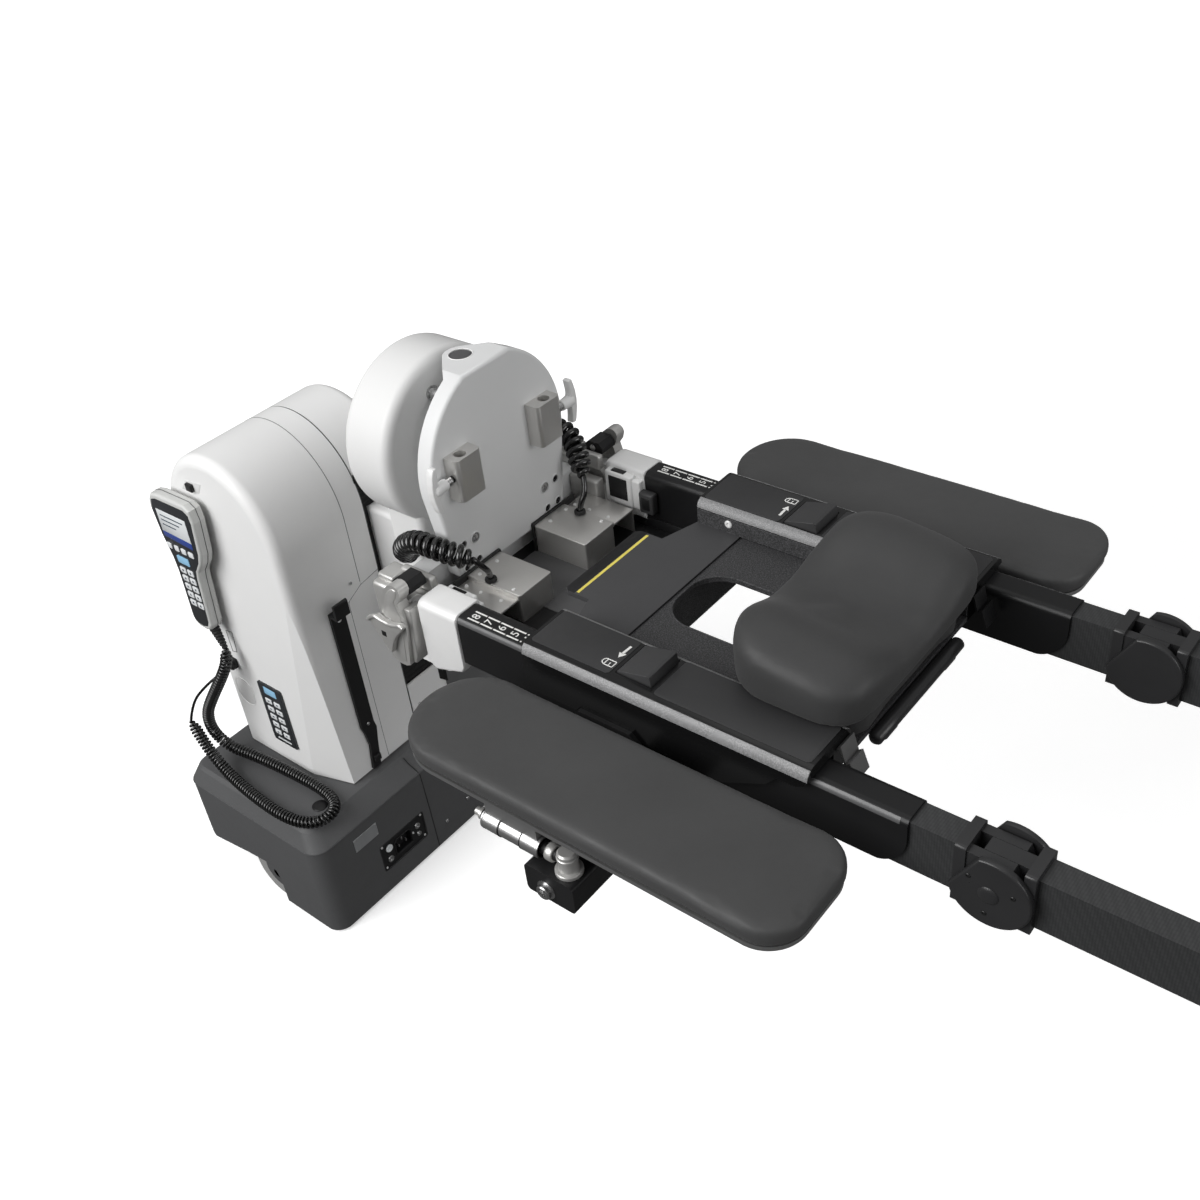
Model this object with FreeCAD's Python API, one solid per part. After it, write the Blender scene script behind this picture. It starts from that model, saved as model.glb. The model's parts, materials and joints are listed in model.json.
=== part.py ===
import FreeCAD, Part
import math, os

V = FreeCAD.Vector
os.makedirs("parts", exist_ok=True)

# ------------------------------------------------------------------ driving dimensions (mm)
# X along the bed (head end at -X), Y across (near side -Y), Z up, floor at Z 0.
RAIL_TOP, RAIL_BOT = 890.0, 815.0          # rail sleeve
RAIL_IN, RAIL_OUT = 175.0, 216.5           # |y| of the rail sleeve
WALL = 4.0                                 # sleeve wall
SLEEVE_X0, SLEEVE_X1 = -721.0, -94.0
HINGE_Z, HINGE_PIN_R = 852.5, 10.0         # bed hinge at X 0
PITCH_X, PITCH_Z, PITCH_R = -815.0, 855.0, 9.0
ROLL_Z, SPINDLE_R = 988.0, 40.0
FIT = 0.05                                 # running fit, radial
PLATE_X0, PLATE_X1 = -846.0, -821.5
DRUM_R, DRUM_X0, DRUM_X1 = 127.0, -996.0, -910.0
TOWER_XC, TOWER_HW, TOWER_HY = -1348.0, 135.0, 142.5
TOWER_Z0, TOWER_ZS, TOWER_RISE = 242.0, 740.0, 150.0
SHELL_T = 4.0
BASE_X0, BASE_X1, BASE_HY = -1530.0, -1165.0, 264.0
GUIDE_HALF = 40.0                          # lift guide is a square tube
WHEEL_X, WHEEL_R, WHEEL_Y0, WHEEL_Y1 = -1330.0, 62.0, 218.0, 254.0
AXLE_R = 10.0
TROLLEY_X0, TROLLEY_X1 = -602.0, -204.0
SADDLE_IN, SADDLE_OUT, SADDLE_TOP = 137.0, 226.0, 906.0
PAN_TOP, PAN_BOT = 868.0, 861.0
ARM_X0, ARM_X1, ARM_Y0, ARM_Y1 = -672.0, -120.0, 250.0, 405.0
ARM_X0_FAR = -652.0
TILT_Y, TILT_Z, TILT_R, TILT_AXLE = 385.0, 793.0, 14.0, 8.0
POST_X, POST_Y, POST_BORE = -810.0, 83.0, 8.5
PLATE_TOP = 1122.0
GRIP_X, GRIP_Z = -822.0, 898.0
TH_Z, TH_R = 1004.0, 5.0                    # T-handle screw
COIL_D, COIL_WIRE = 33.0, 8.8
HCOIL_D, HWIRE = 22.0, 5.2


# ------------------------------------------------------------------ helpers
def box(x0, x1, y0, y1, z0, z1):
    return Part.makeBox(x1 - x0, y1 - y0, z1 - z0, V(x0, y0, z0))


def cylx(x0, x1, y, z, r):
    return Part.makeCylinder(r, x1 - x0, V(x0, y, z), V(1, 0, 0))


def cyly(y0, y1, x, z, r):
    return Part.makeCylinder(r, y1 - y0, V(x, y0, z), V(0, 1, 0))


def cylz(z0, z1, x, y, r):
    return Part.makeCylinder(r, z1 - z0, V(x, y, z0), V(0, 0, 1))


def poly(points):
    return Part.Face(Part.makePolygon(list(points) + [points[0]]))


def prism_xz(pts, y0, y1):
    return poly([V(p[0], y0, p[1]) for p in pts]).extrude(V(0, y1 - y0, 0))


def prism_yz(pts, x0, x1):
    return poly([V(x0, p[0], p[1]) for p in pts]).extrude(V(x1 - x0, 0, 0))


def prism_xy(pts, z0, z1):
    return poly([V(p[0], p[1], z0) for p in pts]).extrude(V(0, 0, z1 - z0))


def my(s):
    return s.mirror(V(0, 0, 0), V(0, 1, 0))


def mx(s):
    return s.mirror(V(0, 0, 0), V(1, 0, 0))


def fuse(*s):
    return s[0].multiFuse(list(s[1:])).removeSplitter()


def cut(a, *b):
    for t in b:
        a = a.cut(t)
    return a


def along(e, axis):
    b = e.BoundBox
    size = {"x": b.XLength, "y": b.YLength, "z": b.ZLength}
    long = size.pop(axis)
    return long > 1e-3 and all(v < 1e-3 for v in size.values())


def fil(s, r, cond):
    return s.makeFillet(r, [e for e in s.Edges if cond(e)])


def at(v, w):
    return abs(v - w) < 1e-3


def both(s):
    return Part.makeCompound([s, my(s)])


def rrect(x0, x1, y0, y1, r, z):
    k = r * (1 - math.sqrt(0.5))
    p = [V(x0 + r, y0, z), V(x1 - r, y0, z), V(x1, y0 + r, z), V(x1, y1 - r, z),
         V(x1 - r, y1, z), V(x0 + r, y1, z), V(x0, y1 - r, z), V(x0, y0 + r, z)]
    m = [V(x1 - k, y0 + k, z), V(x1 - k, y1 - k, z), V(x0 + k, y1 - k, z), V(x0 + k, y0 + k, z)]
    e = []
    for i in range(4):
        e.append(Part.makeLine(p[2 * i], p[2 * i + 1]))
        e.append(Part.Arc(p[2 * i + 1], m[i], p[(2 * i + 2) % 8]).toShape())
    return Part.Wire(e)


def rbox(x0, x1, y0, y1, z0, z1, r):
    return Part.Face(rrect(x0, x1, y0, y1, r, z0)).extrude(V(0, 0, z1 - z0))


def tetra(a, b, c, d):
    a, b, c, d = [V(*p) for p in (a, b, c, d)]
    f = [poly(t) for t in ((a, b, c), (a, b, d), (b, c, d), (a, c, d))]
    s = Part.makeSolid(Part.makeShell(f))
    if s.Volume < 0:
        s.reverse()
    return s


def tube(points, dia, label):
    """Round section along straight runs joined by tangent arcs."""
    p = [V(*q) for q in points]
    edges, start, radii = [], p[0], []
    for i in range(1, len(p) - 1):
        a, b = p[i] - p[i - 1], p[i + 1] - p[i]
        la, lb = a.Length, b.Length
        a, b = a / la, b / lb
        turn = math.acos(max(-1.0, min(1.0, a.dot(b))))
        t = 0.45 * min(la, lb)
        radii.append(round(t / math.tan(turn / 2), 1))
        q0, q1 = p[i] - a * t, p[i] + b * t
        bis = b - a
        bis.normalize()
        r = t / math.tan(turn / 2)
        c = p[i] + bis * (r / math.cos(turn / 2))
        mid = c - bis * r
        edges.append(Part.makeLine(start, q0))
        edges.append(Part.Arc(q0, mid, q1).toShape())
        start = q1
    edges.append(Part.makeLine(start, p[-1]))
    w = Part.Wire(edges)
    d = p[1] - p[0]
    ring = Part.Wire([Part.makeCircle(dia / 2, p[0], d)])
    s = w.makePipeShell([ring], True, False)
    want = math.pi * dia * dia / 4 * w.Length
    print(label, "length %.1f" % w.Length, "min radius %.1f" % min(radii),
          "volume ratio %.4f" % (s.Volume / want), s.isValid())
    return s


def save(name, s):
    solids = s.Solids
    assert solids and s.isValid(), name
    s.exportStep("parts/%s.step" % name)
    b = s.BoundBox
    print("%-22s solids %d  X %.0f..%.0f Y %.0f..%.0f Z %.0f..%.0f  %.0f cm3" % (
        name, len(solids), b.XMin, b.XMax, b.YMin, b.YMax, b.ZMin, b.ZMax, s.Volume / 1000))


# ------------------------------------------------------------------ end column: base, tower, lift
def base_cover(inlet):
    low = rbox(BASE_X0, BASE_X1, -BASE_HY, BASE_HY, 6, 208, 30)
    top = Part.makeLoft([rrect(BASE_X0, BASE_X1, -BASE_HY, BASE_HY, 30, 208),
                         rrect(BASE_X0 + 14, BASE_X1 - 24, -BASE_HY + 14, BASE_HY - 14, 26, 236)], True, True)
    lid = Part.makeLoft([rrect(BASE_X0 + 14, BASE_X1 - 24, -BASE_HY + 14, BASE_HY - 14, 26, 236),
                         rrect(BASE_X0 + 20, BASE_X1 - 30, -BASE_HY + 20, BASE_HY - 20, 24, 242)], True, True)
    s = fuse(low, top, lid)
    arch = prism_xz([(-1560, -1), (-1310, -1), (-1310, 68), (-1317, 84), (-1335, 94), (-1396, 86), (-1500, 67),
                     (-1514, 74), (-1522, 90), (-1560, 90)], -300, 300)
    s = cut(s, arch)
    s = cut(s, rbox(BASE_X0 + 6, BASE_X1 - 6, -BASE_HY + 5, BASE_HY - 5, -1, 204, 25))
    s = cut(s, rbox(BASE_X0 + 26, BASE_X1 - 38, -BASE_HY + 26, BASE_HY - 26, 203, 236, 20))
    s = cut(s, box(TOWER_XC - 12 - 42, TOWER_XC - 12 + 42, -42, 42, 200, 260))
    if inlet:
        s = cut(s, box(BASE_X1 - 20, BASE_X1 + 5, -135, -26, 56, 119))
    return s


def chassis():
    s = box(-1500, -1184, -210, 210, 100, 190)
    posts = [box(x, x + 20, y, y + 20, 190, 236) for x in (-1490, -1235) for y in (-200, 180)]
    br = []
    for sg in (-1, 1):
        y0, y1 = sorted((sg * 186, sg * 210))
        br.append(box(WHEEL_X - 22, WHEEL_X + 22, y0, y1, 44, 100))
        y0, y1 = sorted((sg * 186, sg * 257))
        br.append(cyly(y0, y1, WHEEL_X, WHEEL_R, AXLE_R))
    return fuse(s, *posts, *br)


def feet():
    f = fuse(cylz(0, 14, -1198, -185, 26), cylz(14, 100, -1198, -185, 14))
    return both(f)


def wheel(sg):
    y0, y1 = sorted((sg * WHEEL_Y0, sg * WHEEL_Y1))
    w = cyly(y0, y1, WHEEL_X, WHEEL_R, WHEEL_R)
    w = fil(w, 5, lambda e: e.Curve.TypeId == "Part::GeomCircle" and at(e.Curve.Radius, WHEEL_R))
    return cut(w, cyly(y0 - 1, y1 + 1, WHEEL_X, WHEEL_R, AXLE_R + FIT))


def arch_solid(off, rf):
    hw, rise, hy = TOWER_HW - off, TOWER_RISE - off, TOWER_HY - off
    z0 = TOWER_Z0 if off == 0 else TOWER_Z0 - 10
    el = Part.Ellipse(V(TOWER_XC, -hy, TOWER_ZS + rise), V(TOWER_XC + hw, -hy, TOWER_ZS), V(TOWER_XC, -hy, TOWER_ZS))
    top = Part.ArcOfEllipse(el, -math.pi / 2, math.pi / 2).toShape()
    a, b = V(TOWER_XC - hw, -hy, TOWER_ZS), V(TOWER_XC + hw, -hy, TOWER_ZS)
    c, d = V(TOWER_XC + hw, -hy, z0), V(TOWER_XC - hw, -hy, z0)
    w = Part.Wire(Part.__sortEdges__([top, Part.makeLine(b, c), Part.makeLine(c, d), Part.makeLine(d, a)]))
    s = Part.Face(w).extrude(V(0, 2 * hy, 0))
    return s.makeFillet(rf, [e for e in s.Edges
                             if (at(e.BoundBox.YMin, e.BoundBox.YMax)) and e.BoundBox.ZMax > z0 + 1])


def tower_full():
    s = cut(arch_solid(0, 18), arch_solid(SHELL_T, 15))
    return s


TX1 = TOWER_XC + TOWER_HW
SLOT = box(TX1 - 20, TX1 + 5, 43.3, 118, 355, 800)


def guide():
    x = TOWER_XC - 12
    s = box(x - GUIDE_HALF, x + GUIDE_HALF, -GUIDE_HALF, GUIDE_HALF, 190, 862)
    return cut(s, box(x - 33, x + 33, -33, 33, 200, 870))


def carriage():
    x = TOWER_XC - 12
    s = box(-1430, -1290, -70, 113, 570, 770)
    s = cut(s, box(x - 40.5, x + 40.5, -40.5, 40.5, 560, 780))
    arm = box(-1290, -982, 55, 113, 560, 735)
    arm = fil(arm, 8, lambda e: along(e, "x"))
    return fuse(s, arm)


save("head_base_cover", base_cover(True))
save("head_chassis", chassis())
save("head_floor_feet", feet())
save("head_wheel_near", wheel(-1))
save("head_wheel_far", wheel(1))
save("head_lift_guide", guide())
save("head_carriage", carriage())

full = tower_full()
# facet on the near corner that faces the bed, widening downwards
facet = tetra((-1300, -TOWER_HY - 1, 241), (TX1 + 1, -TOWER_HY - 1, 241), (TX1 + 1, -118, 241),
              (TX1 + 1, -TOWER_HY - 1, 760))
facet_in = tetra((-1304, -TOWER_HY - 1, 230), (TX1 + 1, -TOWER_HY - 1, 230), (TX1 + 1, -113, 230),
                 (TX1 + 1, -TOWER_HY - 1, 790))
inner_fill = arch_solid(0, 18).common(facet_in)
near = fuse(full, inner_fill)
near = cut(near, facet)
panel_pts = [(-32, 241), (43, 241), (43, 620), (0, 613), (-30, 597), (-32, 597)]
panel_hole = prism_yz(panel_pts, TX1 - 12, TX1 + 5)
near = cut(near, box(-1600, -1100, 0, 300, 0, 1000), panel_hole)
far = cut(full, box(-1600, -1100, -300, 0, 0, 1000), panel_hole, SLOT)
# shallow joint line between the shells and the band next to it
far = cut(far, cut(cut(arch_solid(0, 18), arch_solid(1.2, 17)), box(-1600, -1100, -300, 0, 0, 1000),
                   box(-1600, -1100, 1.0, 300, 0, 1000)))
far = cut(far, cut(cut(arch_solid(0, 18), arch_solid(2.5, 16)), box(-1600, -1100, -300, 42.0, 0, 1000),
                   box(-1600, -1100, 44.6, 300, 0, 1000)))
save("tower_near_shell", near)
save("tower_far_shell", far)
ppan = [(-31.4, 242), (42.4, 242), (42.4, 619), (0, 612.2), (-29.6, 596.4), (-31.4, 596.4)]
save("tower_front_panel", prism_yz(ppan, TX1 - 5, TX1 - 0.8))

hook = fuse(prism_yz([(-78, 600), (-48, 600), (-48, 345), (-45, 330), (-50, 300), (-56, 247), (-74, 247), (-68, 300),
                      (-72, 330), (-76, 345)], TX1, TX1 + 6),
            box(TX1, TX1 + 22, -78, -48, 594, 600), box(TX1 + 17, TX1 + 22, -78, -48, 600, 622))
save("cord_hook_bar", hook)

kp = box(-1382, -1318, -TOWER_HY - 3.2, -TOWER_HY, 292, 430)
kp = fil(kp, 5, lambda e: along(e, "y"))
save("column_keypad", kp)

inlet = box(BASE_X1 - 18, BASE_X1 - 1.5, -134.5, -26.5, 56.5, 118.5)
inlet = cut(inlet, box(BASE_X1 - 14, BASE_X1 + 1, -100, -62, 72, 104))
back = box(BASE_X1 - 18, BASE_X1 - 6.0, -140, -20, 50, 56.5)
inlet = fuse(inlet, back)
save("power_inlet", inlet)

# ------------------------------------------------------------------ handset and its cord
hp = [(-1474, 799), (-1466, 811), (-1450, 815), (-1376, 816), (-1364, 808), (-1361, 786), (-1371, 718), (-1380, 698),
      (-1397, 676), (-1401, 660), (-1414, 558), (-1421, 547), (-1432, 543), (-1450, 544), (-1461, 550), (-1465, 562),
      (-1460, 660), (-1462, 690), (-1472, 730), (-1477, 784)]
hs = prism_xz(hp, -177, -151)
hs = fil(hs, 5, lambda e: e.BoundBox.YLength < 1e-3)
hs = fuse(hs, box(-1430, -1400, -152, -TOWER_HY, 752, 792))
save("handset_shell", hs)
rel = Part.makeCone(9.0, 5.0, 50, V(-1432.5, -164, 549.2), V(0.33, 0, -0.944))
rel = cut(rel, hs)
save("handset_relief", rel)

H_COIL = [(-1416, -164, 502), (-1412, -170, 480), (-1422, -183, 450), (-1449, -197, 404), (-1484, -205, 348),
          (-1488, -204, 300), (-1467, -192, 262), (-1420, -178, 254.5), (-1361, -172, 254.5), (-1305, -168, 254.5),
          (-1245, -166, 254.5), (-1200, -173, 254.5), (-1180, -196, 254.5), (-1186, -226, 254.5),
          (-1216, -245, 254.5), (-1264, -250, 254.5), (-1318, -248, 254.5), (-1372, -243, 254.5),
          (-1424, -236, 258), (-1468, -234, 290), (-1500, -231, 340)]
H_WIRE = [(-1500, -231, 340), (-1496, -219, 377), (-1470, -195, 413), (-1444, -168, 438), (-1432, -146, 447)]
coil = tube(H_COIL, HCOIL_D, "handset coil")
wire = tube(H_WIRE, HWIRE, "handset wire")
save("handset_cord", fuse(coil, wire))

# ------------------------------------------------------------------ drum, plate, yoke
drum = cylx(DRUM_X0, DRUM_X1, 0, ROLL_Z, DRUM_R)
drum = fil(drum, 14, lambda e: e.Curve.TypeId == "Part::GeomCircle")
lower = box(-982, -912, -88, 88, 620, ROLL_Z)
lower = fil(lower, 10, lambda e: along(e, "z"))
drum = fuse(drum, lower)
drum = cut(drum, cylx(DRUM_X1 - 5, DRUM_X1 + 1, 0, ROLL_Z, 78))
drum = cut(drum, cylx(-960, DRUM_X1 + 1, 0, ROLL_Z, SPINDLE_R + FIT))
save("drum_housing", drum)

tz = 995.0
ang = math.radians(-8.5)
tp = (130 * math.cos(ang), tz + 130 * math.sin(ang))
e = [Part.makeLine(V(PLATE_X0, -108, 838), V(PLATE_X0, 108, 838)),
     Part.makeLine(V(PLATE_X0, 108, 838), V(PLATE_X0, tp[0], tp[1])),
     Part.Arc(V(PLATE_X0, tp[0], tp[1]), V(PLATE_X0, 99, 1080), V(PLATE_X0, 44, PLATE_TOP)).toShape(),
     Part.makeLine(V(PLATE_X0, 44, PLATE_TOP), V(PLATE_X0, -44, PLATE_TOP)),
     Part.Arc(V(PLATE_X0, -44, PLATE_TOP), V(PLATE_X0, -99, 1080), V(PLATE_X0, -tp[0], tp[1])).toShape(),
     Part.makeLine(V(PLATE_X0, -tp[0], tp[1]), V(PLATE_X0, -108, 838))]
face = Part.Face(Part.Wire(e))
plate = face.extrude(V(PLATE_X1 - PLATE_X0, 0, 0))
plate = fil(plate, 14, lambda e: along(e, "x") and e.BoundBox.ZMax < 840)
plate = fil(plate, 5, lambda e: at(e.BoundBox.XMin, PLATE_X1) and at(e.BoundBox.XMax, PLATE_X1))
web = prism_xy([(-883, -19), (-846, -56), (-838, -56), (-838, 56), (-846, 56), (-883, 19)], 1086, PLATE_TOP)
web = web.common(face.extrude(V(-60, 0, 0)).fuse(face.extrude(V(8, 0, 0))))
boss = fuse(cylz(1086, PLATE_TOP, -868, 0, 24), web)
boss = cut(boss, cylz(PLATE_TOP - 3.5, PLATE_TOP + 5, -868, 0, 16))
plate = fuse(plate, boss)
for sg in (-1, 1):
    for y, z, r in ((72.5, 891, 8.0), (101, 893, 6.0), (101, 852, 6.0), (73, 851, 6.0)):
        plate = cut(plate, cylx(PLATE_X1 - 8, PLATE_X1 + 1, sg * min(y, 96), z if z > 853 else 856, r))
save("face_plate", plate)
bolts = []
for sg in (-1, 1):
    for y, z, r in ((72.5, 891, 8.0), (101, 893, 6.0), (101, 852, 6.0), (73, 851, 6.0)):
        yy, zz = sg * min(y, 96), z if z > 853 else 856
        b = cylx(PLATE_X1 - 8, PLATE_X1 - 1.0, yy, zz, r)
        b = cut(b, cylx(PLATE_X1 - 4.5, PLATE_X1, yy, zz, r * 0.42))
        bolts.append(b)
save("plate_bolts", Part.makeCompound(bolts))
sp = fuse(cylx(-956, PLATE_X0, 0, ROLL_Z, SPINDLE_R), cylx(-868, PLATE_X0, 0, ROLL_Z, 62))
save("roll_spindle", sp)

beam = box(-880, PLATE_X0, -168, 168, 800, 868)
beam = fil(beam, 6, lambda e: along(e, "y") and at(e.BoundBox.XMin, -880))
save("cross_beam", beam)


def clevis():
    blk = box(-884, -853, 168, 214, 812, 893)
    blk = fil(blk, 8, lambda e: along(e, "y") and at(e.BoundBox.XMin, -884))
    parts = [blk]
    for y0, y1 in ((176, 187.5), (206.5, 218)):
        parts.append(box(-853, PITCH_X, y0, y1, PITCH_Z - 17, PITCH_Z + 17))
        parts.append(cyly(y0, y1, PITCH_X, PITCH_Z, 17))
    parts.append(cyly(176, 218, PITCH_X, PITCH_Z, PITCH_R))
    house = prism_xz([(-852, 842), (-847, 860), (-840, 884), (-833, 900), (-824, 911), (-813, 916), (-804, 913), (-801, 906),
                      (-804, 895), (-811, 886), (-806, 872), (-803, 850), (-812, 784), (-832, 779), (-846, 787), (-838, 808)],
                     218, 234)
    house = fil(house, 4, lambda e: at(e.BoundBox.YMin, 234) and at(e.BoundBox.YMax, 234))
    c = fuse(*parts, house)
    c = cut(c, cyly(210, 229, GRIP_X, GRIP_Z, 5 + FIT))
    c = cut(c, cyly(222, 240, -832, 850, 6 + FIT))
    return c


save("latch_clevises", both(my(clevis())))


def grip(sg):
    g = box(-836, -804, 182, 217, 888, 908)
    g = fil(g, 6, lambda e: along(e, "y"))
    g = fuse(g, cyly(190, 228, GRIP_X, GRIP_Z, 5))
    return my(g) if sg < 0 else g


def lever(sg):
    g = prism_xz([(-865, 850), (-850, 861), (-839, 858), (-824, 857), (-802, 863), (-797, 858), (-812, 841), (-820, 832),
                  (-828, 818), (-833, 803), (-841, 808), (-855, 830)], 234.4, 247)
    g = fil(g, 3, lambda e: at(e.BoundBox.YMin, 247) and at(e.BoundBox.YMax, 247))
    g = fuse(g, cyly(224, 236, -832, 850, 6))
    return my(g) if sg < 0 else g


save("latch_grip_near", grip(-1))
save("latch_grip_far", grip(1))
save("latch_lever_near", lever(-1))
save("latch_lever_far", lever(1))


def post():
    p = box(PLATE_X1, PLATE_X1 + 24, POST_Y - 26.5, POST_Y + 19.5, 970, 1032)
    p = fil(p, 6, lambda e: along(e, "z") and at(e.BoundBox.XMin, PLATE_X1 + 24))
    p = cut(p, cylz(940, 1040, POST_X, POST_Y, POST_BORE))
    p = cut(p, cyly(POST_Y, POST_Y + 30, POST_X, TH_Z, TH_R + FIT))
    return p


save("pin_posts", both(post()))


def t_handle(sg):
    h = cyly(93, 139, POST_X, TH_Z, TH_R)
    collar = cyly(105, 124, POST_X, TH_Z, 8)
    bar = fuse(Part.makeCone(6.5, 4.6, 28, V(POST_X, 139, TH_Z), V(0, 0, 1)),
               Part.makeCone(6.5, 4.6, 28, V(POST_X, 139, TH_Z), V(0, 0, -1)),
               Part.makeSphere(5.4, V(POST_X, 139, TH_Z + 28)), Part.makeSphere(5.4, V(POST_X, 139, TH_Z - 28)))
    h = fuse(h, collar, bar)
    return my(h) if sg < 0 else h


save("t_handle_near", t_handle(-1))
save("t_handle_far", t_handle(1))

tray = box(PLATE_X1 + 1.5, -640, -158, 158, 792, 803)
tray = fuse(tray, box(-718, -640, -171, 171, 792, 803))
tray = fuse(tray, box(-846, PLATE_X1 + 1.5, -158, 158, 792, 800))
save("yoke_tray", tray)


def sbox():
    b = box(-818, -723.5, 36.5, 100.5, 803, 848)
    f = box(-818, -726, 100.5, 150, 838, 841)
    web = box(-818, -815, 100.5, 150, 803, 838)
    return fuse(b, f, web)


save("sensor_boxes", both(my(sbox())))

N_COIL = [(-926, -95, 846), (-925, -116, 853), (-903, -131, 884), (-862, -140, 912), (-812, -140, 912),
          (-778, -121, 899)]
N_WIRE = [(-778, -121, 899), (-769, -110, 881), (-777, -98, 864), (-780, -95, 849.6)]
F_COIL = [(-926, 98, 850), (-922, 119, 862), (-898, 138, 904), (-866, 147, 940), (-828, 145, 941),
          (-803, 131, 919), (-786, 117, 896)]
F_WIRE = [(-786, 117, 896), (-776, 108, 880), (-779, 97, 863), (-780, 95, 849.6)]
save("coil_cord_near", fuse(tube(N_COIL, COIL_D, "near coil"), tube(N_WIRE, COIL_WIRE, "near wire")))
save("coil_cord_far", fuse(tube(F_COIL, COIL_D, "far coil"), tube(F_WIRE, COIL_WIRE, "far wire")))


# ------------------------------------------------------------------ head rails
def cap():
    body = prism_xz([(-791, 800), (-783, 786), (-776, 782), (-728, 797), (-721, 806), (-721, 892), (-784, 892),
                     (-791, 886)], 173, 220)
    body = fil(body, 4, lambda e: (at(e.BoundBox.YMin, 220) and at(e.BoundBox.YMax, 220)))
    tongue = fuse(box(PITCH_X, -790, 188, 206, PITCH_Z - 16.5, PITCH_Z + 16.5),
                  cyly(188, 206, PITCH_X, PITCH_Z, 16.5))
    bump = box(-784, -740, 160, 173, 836, 884)
    bump = fil(bump, 3, lambda e: at(e.BoundBox.YMin, 160) and at(e.BoundBox.YMax, 160))
    knob = cylx(-721, -703, 165.5, 860, 9)
    nk = box(-728, -721, 160, 174, 848, 872)
    c = fuse(body, tongue, bump, knob, nk)
    return cut(c, cyly(180, 215, PITCH_X, PITCH_Z, PITCH_R + FIT))


def sleeve():
    s = box(SLEEVE_X0, SLEEVE_X1, RAIL_IN, RAIL_OUT, RAIL_BOT, RAIL_TOP)
    s = fil(s, 9, lambda e: along(e, "x") and at(e.BoundBox.ZMin, RAIL_TOP))
    s = fil(s, 3, lambda e: along(e, "x") and at(e.BoundBox.ZMin, RAIL_BOT))
    s = cut(s, box(SLEEVE_X0 - 1, SLEEVE_X1 + 1, RAIL_IN + WALL, RAIL_OUT - WALL, RAIL_BOT + WALL, RAIL_TOP - WALL))
    # rounded lower corner at the hinge end
    r = 46
    corner = cut(box(SLEEVE_X1 - r, SLEEVE_X1 + 1, RAIL_IN - 1, RAIL_OUT + 1, RAIL_BOT - 1, RAIL_BOT + r),
                 cyly(RAIL_IN - 2, RAIL_OUT + 2, SLEEVE_X1 - r, RAIL_BOT + r, r))
    return cut(s, corner)


def rtube(x0, x1):
    s = box(x0, x1, RAIL_IN + WALL, RAIL_OUT - WALL, RAIL_BOT + WALL, RAIL_TOP - WALL)
    return cut(s, box(x0 - 1, x1 + 1, RAIL_IN + 2 * WALL, RAIL_OUT - 2 * WALL, RAIL_BOT + 2 * WALL,
                      RAIL_TOP - 2 * WALL))


FINGER = [(-32, 817), (-32, 888), (17.5, 888), (23.5, 873), (28.5, 855), (28.5, 850), (23.5, 832), (17.5, 817)]


def fork():
    collar = box(-42, -30, 172, 220, 812, 893)
    collar = fil(collar, 4, lambda e: along(e, "x"))
    parts = [collar]
    for y0, y1 in ((174, 186), (206, 218)):
        parts.append(prism_xz(FINGER, y0, y1))
    parts.append(cyly(164, 228, 0, HINGE_Z, HINGE_PIN_R))
    clip = prism_xz([(-49, 833), (-3, 913), (-80, 913), (-80, 833)], 150, 240)
    for y0, y1, yo in ((220.5, 228, 228), (164, 171.5, 164)):
        disc = cut(cyly(y0, y1, 0, HINGE_Z, 44), clip)
        disc = fil(disc, 2.5, lambda e: at(e.BoundBox.YMin, yo) and at(e.BoundBox.YMax, yo))
        parts.append(disc)
    parts.append(cyly(217, 221, 0, HINGE_Z, 24))
    parts.append(cyly(171, 175, 0, HINGE_Z, 24))
    return fuse(*parts)


def knuckle():
    collar = box(30, 42, 172, 220, 812, 893)
    collar = fil(collar, 4, lambda e: along(e, "x"))
    t = fuse(collar, prism_xz([(-x, z) for x, z in FINGER], 186.5, 205.5))
    return cut(t, cyly(180, 212, 0, HINGE_Z, HINGE_PIN_R + FIT))


save("rail_caps", both(my(cap())))
save("rail_sleeves", both(my(sleeve())))
save("head_rail_tubes", both(my(rtube(-721, -42))))
save("hinge_forks", both(my(fork())))

# ------------------------------------------------------------------ trolley
CH0, CH1, CHZ = RAIL_IN - 1.0, RAIL_OUT + 1.0, RAIL_TOP + 1.0


def saddle():
    s = box(TROLLEY_X0, TROLLEY_X1, SADDLE_IN, SADDLE_OUT, PAN_BOT, SADDLE_TOP)
    s = fil(s, 14, lambda e: along(e, "x") and at(e.BoundBox.ZMin, SADDLE_TOP))
    wall = prism_xz([(TROLLEY_X0, PAN_BOT), (TROLLEY_X0, 838), (-445, 838), (-438, 834), (-317, 831), (-257, PAN_BOT)],
                    CH1, SADDLE_OUT)
    s = fuse(s, wall)
    s = cut(s, box(TROLLEY_X0 - 1, TROLLEY_X1 + 1, CH0, CH1, 700, CHZ))
    s = cut(s, prism_xz([(-257, PAN_BOT - 1), (-257, PAN_BOT), (-243, 877), (-219, 878), (-209, 884), (-203, 896),
                         (-203, PAN_BOT - 1)], CH1 - 1, SADDLE_OUT + 1))
    s = cut(s, box(-473, -421, 149, 206, 893, 920))
    return s


save("trolley_saddles", both(my(saddle())))

pan = box(-532, TROLLEY_X1, -SADDLE_IN, SADDLE_IN, PAN_BOT, PAN_TOP)
hole = rbox(-525, -370, -56, 56, 850, 880, 44)
pan = cut(pan, hole)
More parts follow.
